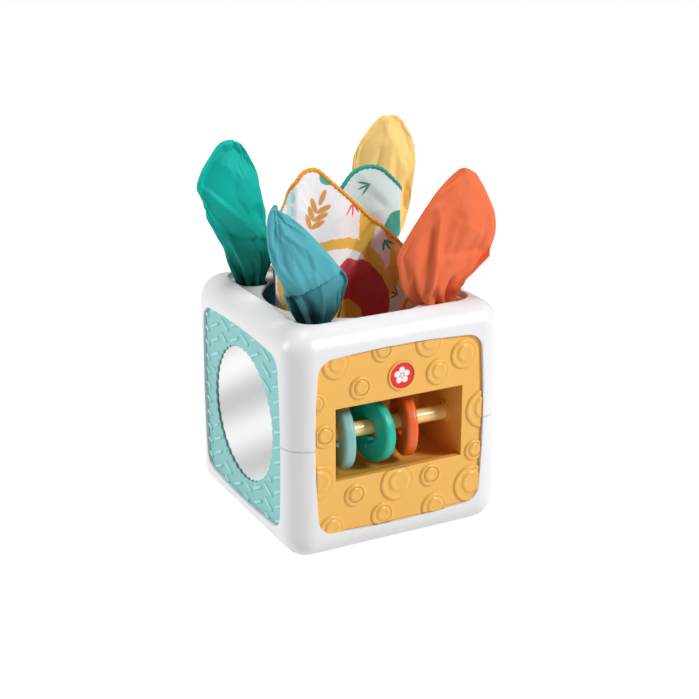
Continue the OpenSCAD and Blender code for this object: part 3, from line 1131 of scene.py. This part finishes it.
@dataclass
class SpinnerSide(Assembly):
    """The coral panel with a ripple of short bars round its flower wheel."""

    panel: Plastic = Plastic("coral_panel", (0.80, 0.15, 0.06), roughness=0.48, grain=0.00004)
    wheel: Plastic = Plastic("spinner_yellow", (0.92, 0.55, 0.12), roughness=0.32, coat=0.2)
    ripple: float = 38.0
    bar_count: int = 40
    bar_half: float = 2.2
    bar_swell: float = 2.0
    bar_width: float = 1.8
    bar_height: float = 0.7

    def build(self) -> None:
        """Dresses the CAD nodes and builds the ripple."""
        material = self.panel.build()
        self.dress("spinner_panel", material)
        self.dress("spinner", self.wheel.build())
        ripple = self.bars(Side.RIGHT)
        for k in range(self.bar_count):
            turn = 2 * math.pi * (k + 0.5) / self.bar_count
            near = self.ripple - self.bar_half
            far = self.ripple + self.bar_half + self.bar_swell * math.cos(4 * turn) ** 2
            start, end = ((r * math.cos(turn), r * math.sin(turn)) for r in (near, far))
            ripple.add(start, end, self.bar_width, self.bar_height)
        self.add(ripple.build("spinner_ripple", material), "cube", "coral_plastic")


# ---------------------------------------------------------------- cloth


@dataclass(frozen=True)
class Crumple:
    """How a cloth is crumpled: its rest size grows, so it buckles within its outline.

    The cap is the most that a point may move, in millimetres. The piece is simulated scale times as
    large, at a size that suits the solver.
    """

    frames: int = 22
    growth: float = 0.038
    bending: float = 0.35
    stiffness: float = 25.0
    cap: float = 3.6
    scale: float = 10.0
    hold_below: float = 122.0
    hold_fade: float = 14.0

    def run(self, piece: bpy.types.Object, held: Callable[[Vector], float]) -> None:
        """Simulates the piece and leaves the result in its mesh.

        Args:
            piece: A mesh object at the origin.
            held: Gives how firmly a point is held, from 0 to 1.
        """
        rest = read_points(piece)
        group = piece.vertex_groups.new(name="held")
        for vertex in piece.data.vertices:
            group.add([vertex.index], held(vertex.co), "REPLACE")
        piece.data.transform(Matrix.Scale(self.scale, 4))
        cloth = piece.modifiers.new("cloth", "CLOTH")
        setup = cloth.settings
        setup.quality = 6
        setup.mass = 0.2
        setup.tension_stiffness = self.stiffness
        setup.compression_stiffness = self.stiffness
        setup.shear_stiffness = self.stiffness / 3
        setup.bending_stiffness = self.bending
        setup.shrink_min = -self.growth
        setup.vertex_group_mass = "held"
        setup.pin_stiffness = 4.0
        setup.effector_weights.gravity = 0.0
        cloth.point_cache.frame_start = 1
        cloth.point_cache.frame_end = self.frames
        scene = bpy.context.scene
        for number in range(1, self.frames + 1):
            scene.frame_set(number)
        apply_modifiers(piece)
        scene.frame_set(1)
        piece.vertex_groups.clear()
        shift = read_points(piece) / self.scale - rest
        length = np.linalg.norm(shift, axis=1, keepdims=True)
        cap = self.cap * MM
        shift *= np.where(length > cap, cap / np.maximum(length, 1e-9), 1.0)
        move_points(piece, rest + shift)


@dataclass(frozen=True)
class Fold:
    """A crease in a cloth's front or back layer.

    It runs from start to end, each (x, z) in millimetres. It stands out by rise, or goes in if that
    is negative, and dies away over its two widths, to the right and to the left of its run.
    """

    start: tuple[float, float]
    end: tuple[float, float]
    rise: float
    widths: tuple[float, float] = (6.0, 6.0)
    back: bool = False

    def lift(self, points: np.ndarray) -> np.ndarray:
        """Gives how far the fold lifts each point.

        Args:
            points: Points as (x, z) rows, in millimetres.

        Returns:
            The lift of each point, in millimetres.
        """
        start = np.array(self.start)
        run = np.array(self.end) - start
        length = np.linalg.norm(run)
        run = run / length
        offset = points - start
        along = offset @ run / length
        aside = offset @ np.array([-run[1], run[0]])
        width = np.where(aside < 0, self.widths[0], self.widths[1])
        crest = np.clip(1 - np.abs(aside) / width, 0, 1) ** 1.5
        window = np.clip(4 * along * (1 - along) * 1.4, 0, 1)
        return self.rise * crest * window


@dataclass
class PullCloth(Assembly):
    """A thin cloth drawn up through a lobe into a puffed, folded-over petal.

    Each station is a height and the left edge, right edge, middle depth and half thickness there,
    in millimetres. The third station is at the lobe's rim. Below it the cloth is fully pleated, and
    above it the pleats die away from pleats_from to pleats_to over it.
    """

    name: str
    node: str
    body: str
    slot: str
    finish: ThinCloth
    stations: tuple[tuple[float, float, float, float, float], ...]
    folds: tuple[Fold, ...]
    flat: tuple[float, float] = (100.0, 100.0)
    pleats: int = 9
    pleat_depth: float = 0.48
    pleat_tuck: float = 0.35
    pleats_from: float = -8.0
    pleats_to: float = 26.0
    phase: float = 0.0
    around: int = 108
    along: int = 62
    thickness: float = 0.35
    seed: int = 1
    crumple: Crumple = Crumple()

    def build(self) -> None:
        piece = self._petal()
        self.crumple.run(piece, self._held)
        piece.modifiers.new("finer", "SUBSURF").levels = 1
        apply_modifiers(piece)
        self._fold(piece)
        thicken(piece, self.thickness)
        self.add(piece, self.body, self.slot)
        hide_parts(self.node)
        log.info("%s has %.4f square metres", self.name, sum(f.area for f in piece.data.polygons) / 2)

    def _held(self, point: Vector) -> float:
        """Tells how firmly the crumpling holds a point: fully in the lobe, hardly above it.

        Args:
            point: The point, in metres.

        Returns:
            A share from 0 to 1.
        """
        above = point.z / MM - self.crumple.hold_below
        return min(1.0, max(0.02, 1.0 - above / self.crumple.hold_fade))

    def _petal(self) -> bpy.types.Object:
        """Makes the closed petal with its pleated tail.

        Returns:
            The mesh object, with flat coordinates as its UV map.
        """
        table = np.array(self.stations)
        low, high = table[0, 0], table[-1, 0]
        share = np.linspace(0, 1, self.along)
        heights = low + (high - low) * np.sin(share * math.pi / 2) ** 0.85
        rows = smooth_curve(table, heights)
        turn = np.linspace(0, 2 * math.pi, self.around, endpoint=False)
        rim = table[2, 0]
        across, lens = np.cos(turn), np.sin(turn) * (1 - 0.25 * np.cos(turn) ** 2)
        gather = np.cos(self.pleats * turn + self.phase) - self.pleat_tuck
        points = np.zeros((self.along, self.around, 3))
        for i, (height, (left, right, depth, thick)) in enumerate(zip(heights, rows)):
            half = max(0.5, (right - left) / 2)
            near = (rim + self.pleats_to - height) / (self.pleats_to - self.pleats_from)
            pleat = 1 + self.pleat_depth * max(0.0, min(1.0, near)) ** 1.6 * gather
            points[i, :, 0] = (left + right) / 2 + half * across * pleat
            points[i, :, 1] = depth + max(0.25, thick) * lens * pleat
            points[i, :, 2] = height
        faces = grid_faces(self.along, self.around, wraps=True) + self._closing_faces()
        piece = new_piece(self.name, points.reshape(-1, 3) * MM, faces, self.finish.build())
        self._lay_out(piece, heights)
        return piece

    def _closing_faces(self) -> list[tuple[int, ...]]:
        """Makes the faces that join the front and the back of the last row.

        Returns:
            The faces.
        """
        last = (self.along - 1) * self.around
        half = self.around // 2
        faces = []
        for k in range(1, half - 1):
            faces.append((last + k, last + k + 1, last + self.around - k - 1, last + self.around - k))
        faces.append((last, last + 1, last + self.around - 1))
        faces.append((last + half - 1, last + half, last + half + 1))
        return faces

    def _lay_out(self, piece: bpy.types.Object, heights: np.ndarray) -> None:
        """Gives the petal flat coordinates, in metres, so that the weave follows the cloth.

        Args:
            piece: The petal.
            heights: The height of each row of its points, in millimetres.
        """
        layer = piece.data.uv_layers.new(name="flat")
        width = self.flat[0] * MM
        for polygon in piece.data.polygons:
            numbers = [piece.data.loops[i].vertex_index for i in polygon.loop_indices]
            columns = [number % self.around for number in numbers]
            wraps = max(columns) == self.around - 1 and min(columns) == 0
            for loop, number, column in zip(polygon.loop_indices, numbers, columns):
                across = self.around if wraps and column == 0 else column
                layer.data[loop].uv = (width * across / self.around, heights[number // self.around] * MM)

    def _fold(self, piece: bpy.types.Object) -> None:
        """Presses the folds and many small creases into the cloth.

        Args:
            piece: The petal, before it gets its thickness.
        """
        points = read_points(piece)
        normals = np.array([v.normal for v in piece.data.vertices])
        flat = points[:, [0, 2]] / MM
        front = np.clip(-normals[:, 1] * 1.6, 0, 1)
        back = np.clip(normals[:, 1] * 1.6, 0, 1)
        lift = sum(fold.lift(flat) * (back if fold.back else front) for fold in self.folds)
        points[:, 1] += lift * np.where(normals[:, 1] < 0, -1, 1) * MM
        free = np.clip((flat[:, 1] - self.stations[2][0]) / 12, 0, 1)
        creases = crease_noise(points, self.seed, count=18, pitch=(14, 46), depth=0.32)
        move_points(piece, points + normals * (creases * free)[:, None])


@dataclass
class CrinkleSheet(Assembly):
    """A printed square with a corded edge, standing on its corner in the round opening.

    plan is the line that the sheet follows, seen from above, and corner_at is how far along it the
    top corner stands, all in millimetres.
    """

    name: str
    node: str
    body: str
    slot: str
    finish: PrintedCloth
    cording: Cording
    side: float
    top: float
    plan: tuple[tuple[float, float], ...]
    corner_at: float
    folds: tuple[Fold, ...] = ()
    lean: float = 43.0
    corner_radius: float = 9.0
    ripple: float = 2.6
    ripple_pitch: float = 31.0
    phase: float = 0.0
    cells: int = 96
    thickness: float = 0.9
    cord_radius: float = 1.15
    cord_pitch: float = 3.2
    cord_relief: float = 0.13
    cord_around: int = 10
    held: float = 0.25
    seed: int = 3
    crumple: Crumple = Crumple(frames=16, growth=0.018, bending=1.2, stiffness=40.0, cap=3.0)

    def build(self) -> None:
        piece, edge = self._sheet()
        self.crumple.run(piece, lambda point: self.held)
        self._crease(piece)
        cord = self._cord(read_points(piece)[edge])
        thicken(piece, self.thickness)
        self.add(piece, self.body, self.slot)
        self.add(cord, self.body, self.slot)
        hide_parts(self.node)
        flat = (self.side * MM, self.side * MM)

    def _sheet(self) -> tuple[bpy.types.Object, list[int]]:
        """Makes the sheet's surface.

        Returns:
            The mesh object, and the numbers of the points round its edge, in order.
        """
        n = self.cells
        line = self._plan_line()
        steps = np.linspace(0, self.side, n + 1)
        right, left = np.meshgrid(steps, steps, indexing="ij")
        right, left = self._rounded(right, left)
        a = math.radians(self.lean)
        along = right * math.cos(a) - left * math.sin(a)
        down = right * math.sin(a) + left * math.cos(a)
        spots = on_line(line, self.corner_at + along.ravel()).reshape(n + 1, n + 1, 2)
        swell = np.clip(down / 70, 0, 1)
        wave = np.sin(2 * math.pi * (along / self.ripple_pitch) + self.phase + down / 45)
        y = spots[..., 1] + self.ripple * swell * wave
        points = np.stack([spots[..., 0], y, self.top - down], axis=-1).reshape(-1, 3) * MM
        faces = [(a, d, c, b) for a, b, c, d in grid_faces(n + 1, n + 1)]
        piece = new_piece(self.name, points, faces, self.finish.build())
        layer = piece.data.uv_layers.new(name="flat")
        flat = np.stack([along, -down], axis=-1).reshape(-1, 2) * MM
        for loop in piece.data.loops:
            layer.data[loop.index].uv = flat[loop.vertex_index]
        edge = [k for k in range(n)]
        edge += [i * (n + 1) + n for i in range(n)]
        edge += [n * (n + 1) + k for k in range(n, 0, -1)]
        edge += [i * (n + 1) for i in range(n, 0, -1)]
        return piece, edge

    def _rounded(self, right: np.ndarray, left: np.ndarray) -> tuple[np.ndarray, np.ndarray]:
        """Rounds the square's corners, by pulling each square ring there onto a round one.

        Args:
            right: How far each point is along the square's right-hand side.
            left: How far it is along the left-hand side.

        Returns:
            The two distances of each point on the rounded square.
        """
        r = self.corner_radius
        cx = np.clip(right, r, self.side - r)
        cy = np.clip(left, r, self.side - r)
        dx, dy = right - cx, left - cy
        length = np.hypot(dx, dy)
        share = np.where(length > 0, np.maximum(abs(dx), abs(dy)) / np.maximum(length, 1e-9), 1.0)
        return cx + dx * share, cy + dy * share

    def _plan_line(self) -> np.ndarray:
        """Makes the plan line as close points, with rounded bends.

        Returns:
            The points, as rows.
        """
        points = np.array(self.plan, float)
        for _ in range(4):
            near = points[:-1] * 0.75 + points[1:] * 0.25
            far = points[:-1] * 0.25 + points[1:] * 0.75
            middle = np.empty((2 * len(near), 2))
            middle[0::2], middle[1::2] = near, far
            points = np.vstack([points[:1], middle, points[-1:]])
        return points

    def _crease(self, piece: bpy.types.Object) -> None:
        """Adds the folds and the small sharp creases of the crinkle film.

        Args:
            piece: The sheet, before it gets its thickness.
        """
        points = read_points(piece)
        normals = np.array([v.normal for v in piece.data.vertices])
        points += normals * crease_noise(points, self.seed, count=26, pitch=(11, 34), depth=0.4)[:, None]
        flat = points[:, [0, 2]] / MM
        for fold in self.folds:
            points[:, 1] -= fold.lift(flat) * MM
        move_points(piece, points)

    def _cord(self, rim: np.ndarray) -> bpy.types.Object:
        """Makes the twisted cord along the sheet's edge.

        Args:
            rim: The edge's points in order, in metres.

        Returns:
            The mesh object.
        """
        closed = np.vstack([rim, rim[:1]])
        count = len(rim) * 2
        places = np.linspace(0, distances(closed)[-1], count, endpoint=False)
        line = on_line(closed, places)
        tangent = np.roll(line, -1, axis=0) - np.roll(line, 1, axis=0)
        tangent /= np.linalg.norm(tangent, axis=1, keepdims=True)
        side = np.cross(tangent, (0.3, 0.9, 0.3))
        side /= np.linalg.norm(side, axis=1, keepdims=True)
        up = np.cross(tangent, side)
        points = []
        for i in range(count):
            lay = places[i] / MM * 2 * math.pi / self.cord_pitch
            for k in range(self.cord_around):
                turn = 2 * math.pi * k / self.cord_around
                reach = self.cord_radius * MM * (1 + self.cord_relief * math.sin(2 * turn + lay))
                points.append(line[i] + reach * (math.cos(turn) * side[i] + math.sin(turn) * up[i]))
        faces = grid_faces(count, self.cord_around, wraps=True, closes=True)
        return new_piece(f"{self.name}_cord", np.array(points), faces, self.cording.build())


# ---------------------------------------------------------------- the prints


@dataclass(frozen=True)
class Sprig:
    """A sprig of paired leaves with one at its tip."""

    at: tuple[float, float]
    angle: float
    colour: Colour
    pairs: int = 3
    leaf: tuple[float, float] = (4.4, 1.55)
    pitch: float = 4.3
    spread: float = 44.0

    def prints(self) -> list[Print]:
        """Gives the sprig's leaves as printed shapes.

        Returns:
            The shapes.
        """
        turn = math.radians(self.angle)
        run = (math.cos(turn), math.sin(turn))
        made = []
        for i in range(self.pairs + 1):
            place = (i - self.pairs / 2) * self.pitch
            for side in (-1, 1) if i < self.pairs else (0,):
                spread = math.radians(self.angle + side * self.spread)
                reach = self.leaf[0] * 1.02
                at = (
                    self.at[0] + run[0] * place + reach * math.cos(spread),
                    self.at[1] + run[1] * place + reach * math.sin(spread),
                )
                made.append(Print(at, self.leaf, self.angle + side * self.spread, self.colour))
        return made


@dataclass(frozen=True)
class Twig:
    """A twig of three short strokes that meet."""

    at: tuple[float, float]
    angle: float
    colour: Colour
    length: float = 3.6

    def prints(self) -> list[Print]:
        """Gives the twig's strokes as printed shapes.

        Returns:
            The shapes.
        """
        made = []
        for spread in (-34, 0, 34):
            turn = math.radians(self.angle + spread)
            at = (self.at[0] + self.length * math.cos(turn), self.at[1] + self.length * math.sin(turn))
            made.append(Print(at, (self.length, 0.62), self.angle + spread, self.colour))
        return made


MUSTARD: Colour = (0.80, 0.46, 0.06)
OCHRE: Colour = (0.72, 0.30, 0.06)
CRIMSON: Colour = (0.55, 0.03, 0.05)
CORAL_RED: Colour = (0.80, 0.09, 0.08)
LEAF_GREEN: Colour = (0.01, 0.25, 0.18)
MINT: Colour = (0.05, 0.42, 0.34)
PALE_BLUE: Colour = (0.50, 0.74, 0.77)
MAUVE: Colour = (0.66, 0.52, 0.60)
INK: Colour = (0.02, 0.02, 0.025)


def white_prints() -> tuple[Print, ...]:
    """Lists the prints on the white sheet: leaves, twigs, arcs and soft spots.

    Returns:
        The shapes, from the lowest to the uppermost.
    """
    shapes = [
        Print((48, -56), (13, 17), 20, MAUVE, strength=0.45),
        Print((-10, -30), (9, 7), 0, MAUVE, strength=0.18),
        Print((22, -36), (10, 7), 0, MAUVE, strength=0.15),
        Print((-12, -17), (3.2, 3.2), 0, PALE_BLUE),
        Print((-16, -20), (3.2, 3.2), 0, PALE_BLUE),
        Print((-13, -24), (3.4, 3.4), 0, PALE_BLUE),
        Print((11, -8), (5.5, 5.0), 0, MINT),
        Print((17, -62), (27, 20), -8, MUSTARD, Mark.RING, 0.28),
        Print((41, -50), (10, 28), 12, MUSTARD, Mark.RING, 0.55),
        Print((34, -38), (1.9, 7.5), -10, MUSTARD),
        Print((28, -76), (17, 23), 24, CRIMSON),
        Print((14, -88), (18, 13), 0, MUSTARD),
        Print((16, -83), (0.8, 5.0), -22, INK),
        Print((-24, -68), (10, 14), 0, MUSTARD),
    ]
    for group in (
        Sprig((3, -29), 66, OCHRE),
        Twig((25, -24), -90, CORAL_RED),
        Twig((-17, -27), -45, LEAF_GREEN, 2.6),
        Twig((52, -78), 150, CRIMSON, 3.0),
        Twig((-24, -78), 60, CORAL_RED),
        Twig((43, -46), -60, LEAF_GREEN, 3.0),
        Sprig((-50, -84), 70, MINT),
        Twig((8, -110), 30, CORAL_RED),
        Sprig((24, -128), 100, OCHRE),
    ):
        shapes += group.prints()
    return tuple(shapes)


def teal_prints() -> tuple[Print, ...]:
    """Lists the prints on the pale teal sheet.

    Returns:
        The shapes, from the lowest to the uppermost.
    """
    shapes = [
        Print((8, -40), (12, 9), 0, MAUVE, strength=0.4),
        Print((19, -41), (9, 7.5), 10, LEAF_GREEN),
        Print((14, -12), (2.0, 2.0), 0, CORAL_RED),
    ]
    for group in (
        Twig((2, -16), 200, LEAF_GREEN),
        Twig((30, -14), -30, MUSTARD, 2.6),
        Twig((50, -52), 200, CORAL_RED, 2.6),
        Sprig((-4, -46), 120, MINT),
        Twig((-14, -30), 30, MUSTARD),
        Sprig((-30, -60), 60, OCHRE),
        Twig((4, -72), 200, CORAL_RED),
        Twig((46, -84), 80, LEAF_GREEN),
        Sprig((12, -112), 80, MINT),
    ):
        shapes += group.prints()
    return tuple(shapes)


def pull_cloths(frame: dict) -> list[PullCloth]:
    """Lists the four cloths.

    Args:
        frame: The loaded frame.

    Returns:
        The cloths, each with its outline in millimetres.
    """
    green = PullCloth(
        frame, "cloth_green", "tissue_green", "green_cloth", "cloth_green",
        ThinCloth("green_cloth", (0.0, 0.50, 0.42), painted_shade_share=0.16),
        (
            (94, -43, -32.5, 37.7, 5.2), (118, -43, -32.5, 37.7, 5.6), (124, -46, -31, 37.5, 6.2),
            (133, -50, -27, 37.3, 7.5), (142, -53, -26, 37, 8.5), (151, -57, -27, 37, 9),
            (160, -62, -29, 37, 9), (169, -65.5, -31, 37, 8.5), (178, -67, -33, 37, 8),
            (186, -64, -36, 37, 7), (193, -59.5, -39.5, 37, 5), (197.5, -56, -42.5, 37, 2.6),
            (199.5, -53.5, -45, 37, 0.4),
        ),
        (
            Fold((-67, 179), (-36, 149), 2.6, (9, 2.5)), Fold((-56, 153), (-27, 143), -2.0, (5, 2)),
            Fold((-50, 151), (-30, 148), 1.3, (3, 5)), Fold((-39, 150), (-31, 122), -2.4, (2, 6)),
            Fold((-44, 141), (-37, 120), 1.6, (4, 2)), Fold((-60, 193), (-38, 178), 0.9, (7, 9)),
            Fold((-52, 139), (-42, 122), -1.2, (3, 4)),
            Fold((-62, 160), (-45, 175), 1.5, (4, 8), back=True),
            Fold((-35, 160), (-50, 130), -1.8, (3, 5), back=True),
        ),
        phase=0.4, seed=11,
    )
    petrol = PullCloth(
        frame, "cloth_petrol", "tissue_petrol", "petrol_cloth", "cloth_petrol",
        ThinCloth("petrol_cloth", (0.09, 0.43, 0.50), painted_shade_share=0.12, shade_full_at=0.127, shade_fades_at=0.148),
        (
            (94, -43, -32.5, -37.7, 5.2), (114, -43, -32.5, -37.7, 5.6), (120, -44, -30, -37.7, 6.2),
            (127, -47.5, -25, -37.7, 7.5), (134, -51, -22, -37.7, 8.5), (142, -54, -19.5, -37.7, 8.5),
            (150, -57, -26, -37.7, 8), (158, -59.5, -32, -37.7, 7.2), (166, -61, -38.5, -37.7, 6),
            (174, -61, -46, -37.7, 4.4), (180, -59.8, -51, -37.7, 2.4), (183.5, -58.2, -54.5, -37.7, 0.4),
        ),
        (
            Fold((-60, 134), (-15, 149), -7.5, (20, 0.9)), Fold((-57, 178), (-42, 146), 0.9, (10, 8)),
            Fold((-33, 146), (-36, 121), 1.6, (3, 5)), Fold((-45, 139), (-39, 120), -1.2, (3, 4)),
            Fold((-52, 150), (-40, 170), 1.5, (4, 8), back=True),
            Fold((-30, 140), (-40, 122), -1.8, (3, 4), back=True),
        ),
        phase=2.0, seed=5, flat=(88.0, 88.0),
    )
    coral = PullCloth(
        frame, "cloth_coral", "tissue_coral", "coral_cloth", "cloth_coral",
        ThinCloth("coral_cloth", (0.85, 0.17, 0.06), painted_shade_share=0.85),
        (
            (94, 30.5, 42.5, -36.8, 5.2), (114, 29.5, 43, -36.5, 5.6), (121, 24, 46, -36, 6.4),
            (130, 15.5, 49, -36.5, 8), (139, 12.5, 59, -37, 9.5), (148, 11.5, 66, -37.5, 10),
            (156, 16.5, 67.5, -37.5, 10), (164, 22, 66.5, -37.5, 9), (173, 29, 62.5, -37.5, 7.5),
            (181, 36, 57.8, -37.5, 5.2), (186, 41, 54.5, -37.5, 2.8), (189, 44.5, 50.5, -37.5, 0.4),
        ),
        (
            Fold((32, 176), (24, 118), 3.6, (2.5, 11)), Fold((28, 150), (64, 147), -1.8, (3, 8)),
            Fold((70, 149), (40, 127), 4.0, (2.2, 7)), Fold((66, 142), (43, 118), -3.0, (5, 2.2)),
            Fold((40, 138), (35, 117), -2.6, (3, 4)), Fold((31, 134), (28, 116), 1.8, (3, 3)),
            Fold((36, 168), (60, 156), 0.9, (8, 8)), Fold((20, 140), (50, 175), 1.5, (4, 8), back=True),
            Fold((60, 150), (38, 120), -1.8, (3, 5), back=True),
        ),
        phase=1.1, seed=7,
    )
    yellow = PullCloth(
        frame, "cloth_yellow", "tissue_yellow", "yellow_cloth", "cloth_yellow",
        ThinCloth("yellow_cloth", (0.98, 0.67, 0.23), painted_shade_share=0.75),
        (
            (94, 32.5, 43, 37.7, 5.2), (118, 32, 43.5, 37.7, 5.6), (126, 30.5, 46, 37.7, 6.5),
            (136, 28.5, 52, 38, 8), (146, 27, 58, 38.5, 9.5), (158, 25.5, 60.5, 39, 10),
            (170, 24.5, 61.5, 39, 10), (180, 24.5, 62, 39, 9), (188, 27.5, 61, 39, 7.5),
            (195, 34, 57, 39, 5), (199, 38, 54.5, 39, 2.6), (201, 41.5, 51.5, 39, 0.4),
        ),
        (
            Fold((63, 188), (44, 158), 3.0, (9, 2)), Fold((41, 190), (33, 166), -1.4, (4, 6)),
            Fold((56, 170), (58, 150), -1.6, (4, 3)), Fold((35, 150), (40, 122), 1.6, (3, 5)),
            Fold((30, 180), (52, 160), 1.6, (4, 8), back=True),
            Fold((52, 150), (40, 124), -2.0, (3, 5), back=True),
        ),
        phase=3.0, seed=9,
    )
    return [green, petrol, coral, yellow]


def crinkle_sheets(frame: dict) -> list[CrinkleSheet]:
    """Lists the two printed sheets.

    Args:
        frame: The loaded frame.

    Returns:
        The sheets, each with the line it follows seen from above.
    """
    white = CrinkleSheet(
        frame, "sheet_white", "crinkle_white", "white_sheet", "cloth_print_white",
        PrintedCloth("white_print", (0.92, 0.905, 0.925), white_prints()),
        Cording("mustard_cord", (0.92, 0.36, 0.004)),
        side=118, top=196,
        plan=(
            (-20, 44), (-29, 30), (-33, 6), (-37, -11), (-23, -8),
            (10, -7), (36, -9), (38, -17), (24, -24), (10, -24),
        ),
        corner_at=66, phase=0.6,
        folds=(
            Fold((-8, 132), (18, 165), 5.6, (10, 2.2)), Fold((9, 152), (16, 122), -4.2, (4, 8)),
            Fold((-14, 126), (20, 138), 2.4, (4, 10)), Fold((-36, 160), (-20, 140), 1.2, (7, 4)),
            Fold((24, 156), (12, 172), -1.6, (5, 4)), Fold((20, 150), (30, 122), 2.4, (3, 7)),
        ),
    )
    teal = CrinkleSheet(
        frame, "sheet_teal", "crinkle_teal", "teal_sheet", "cloth_print_teal",
        PrintedCloth("teal_print", (0.66, 0.81, 0.81), teal_prints()),
        Cording("green_cord", (0.0, 0.36, 0.28)),
        side=112, top=192,
        plan=((-14, 40), (-20, 22), (-14, 9), (8, 9), (40, 10), (41, 17), (30, 24), (12, 26), (0, 26)),
        corner_at=62, phase=2.2, seed=8, corner_radius=16,
        folds=(Fold((10, 186), (36, 160), 0.7, (5, 9)), Fold((20, 170), (40, 150), -0.8, (5, 7))),
    )
    return [white, teal]


# ---------------------------------------------------------------- studio


@dataclass
class Studio:
    """A pale floor, soft lights and the camera."""

    azimuth: float = -27.408
    elevation: float = 20.111
    distance: float = 873.2
    target: tuple[float, float, float] = (2.42, 0.0, 88.04)
    lens: float = 83.1
    floor_half: float = 30.0

    def build(self) -> None:
        """Builds the floor, the world, the lights and the camera."""
        self._floor()
        self._world()
        self._light("key", (0.95, -1.3, 1.2), 0.5, 30.0)
        self._light("left_fill", (-1.6, 0.7, 0.8), 0.7, 20.0)
        self._light("top", (0.1, 0.3, 1.9), 0.9, 13.5)
        self._camera()
        bpy.context.scene.view_settings.view_transform = "Standard"

    def _floor(self) -> None:
        """Builds the plain pale floor at the cube's foot."""
        h = self.floor_half
        shader = Shader("pale_floor")
        shade = shader.noise(3.0, 2.0)
        direct = shader.node("ShaderNodeLightPath", out="Is Camera Ray")
        seen = (direct + shader.node("ShaderNodeLightPath", out="Is Glossy Ray")).clamped()
        shader.set(
            Base_Color=shader.mix(shade, (0.44, 0.44, 0.44), (0.46, 0.46, 0.46)),
            Roughness=0.7,
            Emission_Color=shader.mix(seen, (0.4, 0.4, 0.4), (1.0, 1.0, 1.0)),
            Emission_Strength=0.8,
        )
        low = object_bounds()[0][2]
        points = np.array([(-h, -h, low), (h, -h, low), (h, h, low), (-h, h, low)])
        new_piece("floor", points, [(0, 1, 2, 3)], shader.material)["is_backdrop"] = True

    def _world(self) -> None:
        """Sets an even, pale surrounding light."""
        world = bpy.data.worlds.new("studio")
        world.use_nodes = True
        world.node_tree.nodes["Background"].inputs["Color"].default_value = (1.0, 1.0, 1.0, 1.0)
        world.node_tree.nodes["Background"].inputs["Strength"].default_value = 0.16
        bpy.context.scene.world = world

    def _light(self, name: str, at: tuple[float, float, float], size: float, power: float) -> None:
        """Adds a square soft light that faces the cube.

        Args:
            name: The light's name.
            at: Its place, in metres.
            size: Width of the square, in metres.
            power: Power in watts.
        """
        lamp = bpy.data.lights.new(name, "AREA")
        lamp.shape = "SQUARE"
        lamp.size = size
        lamp.energy = power
        made = bpy.data.objects.new(name, lamp)
        made.location = at
        aim = Vector((0, 0, 0.08)) - Vector(at)
        made.rotation_euler = aim.to_track_quat("-Z", "Y").to_euler()
        bpy.context.scene.collection.objects.link(made)

    def _camera(self) -> None:
        """Places the camera on its azimuth and elevation round the target."""
        a, e = math.radians(self.azimuth), math.radians(self.elevation)
        back = Vector((math.sin(a) * math.cos(e), -math.cos(a) * math.cos(e), math.sin(e)))
        target = Vector(self.target) * MM
        lens = bpy.data.cameras.new("camera")
        lens.lens = self.lens
        lens.sensor_width = 36.0
        lens.clip_start = 0.01
        camera = bpy.data.objects.new("camera", lens)
        camera.location = target + back * self.distance * MM
        camera.rotation_euler = (-back).to_track_quat("-Z", "Y").to_euler()
        bpy.context.scene.collection.objects.link(camera)
        bpy.context.scene.camera = camera


def main() -> None:
    """Builds the looks round the frame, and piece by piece."""
    logging.basicConfig(level=logging.INFO, format="%(name)s: %(message)s")
    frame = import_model()
    Studio().build()
    for assembly in (Casing, MirrorSide, RingSide, RollerSide, SpinnerSide):
        assembly(frame).build()
    for cloth in pull_cloths(frame):
        cloth.build()
    for sheet in crinkle_sheets(frame):
        sheet.build()
    log.info("sizes written")


if __name__ == "__main__":
    main()
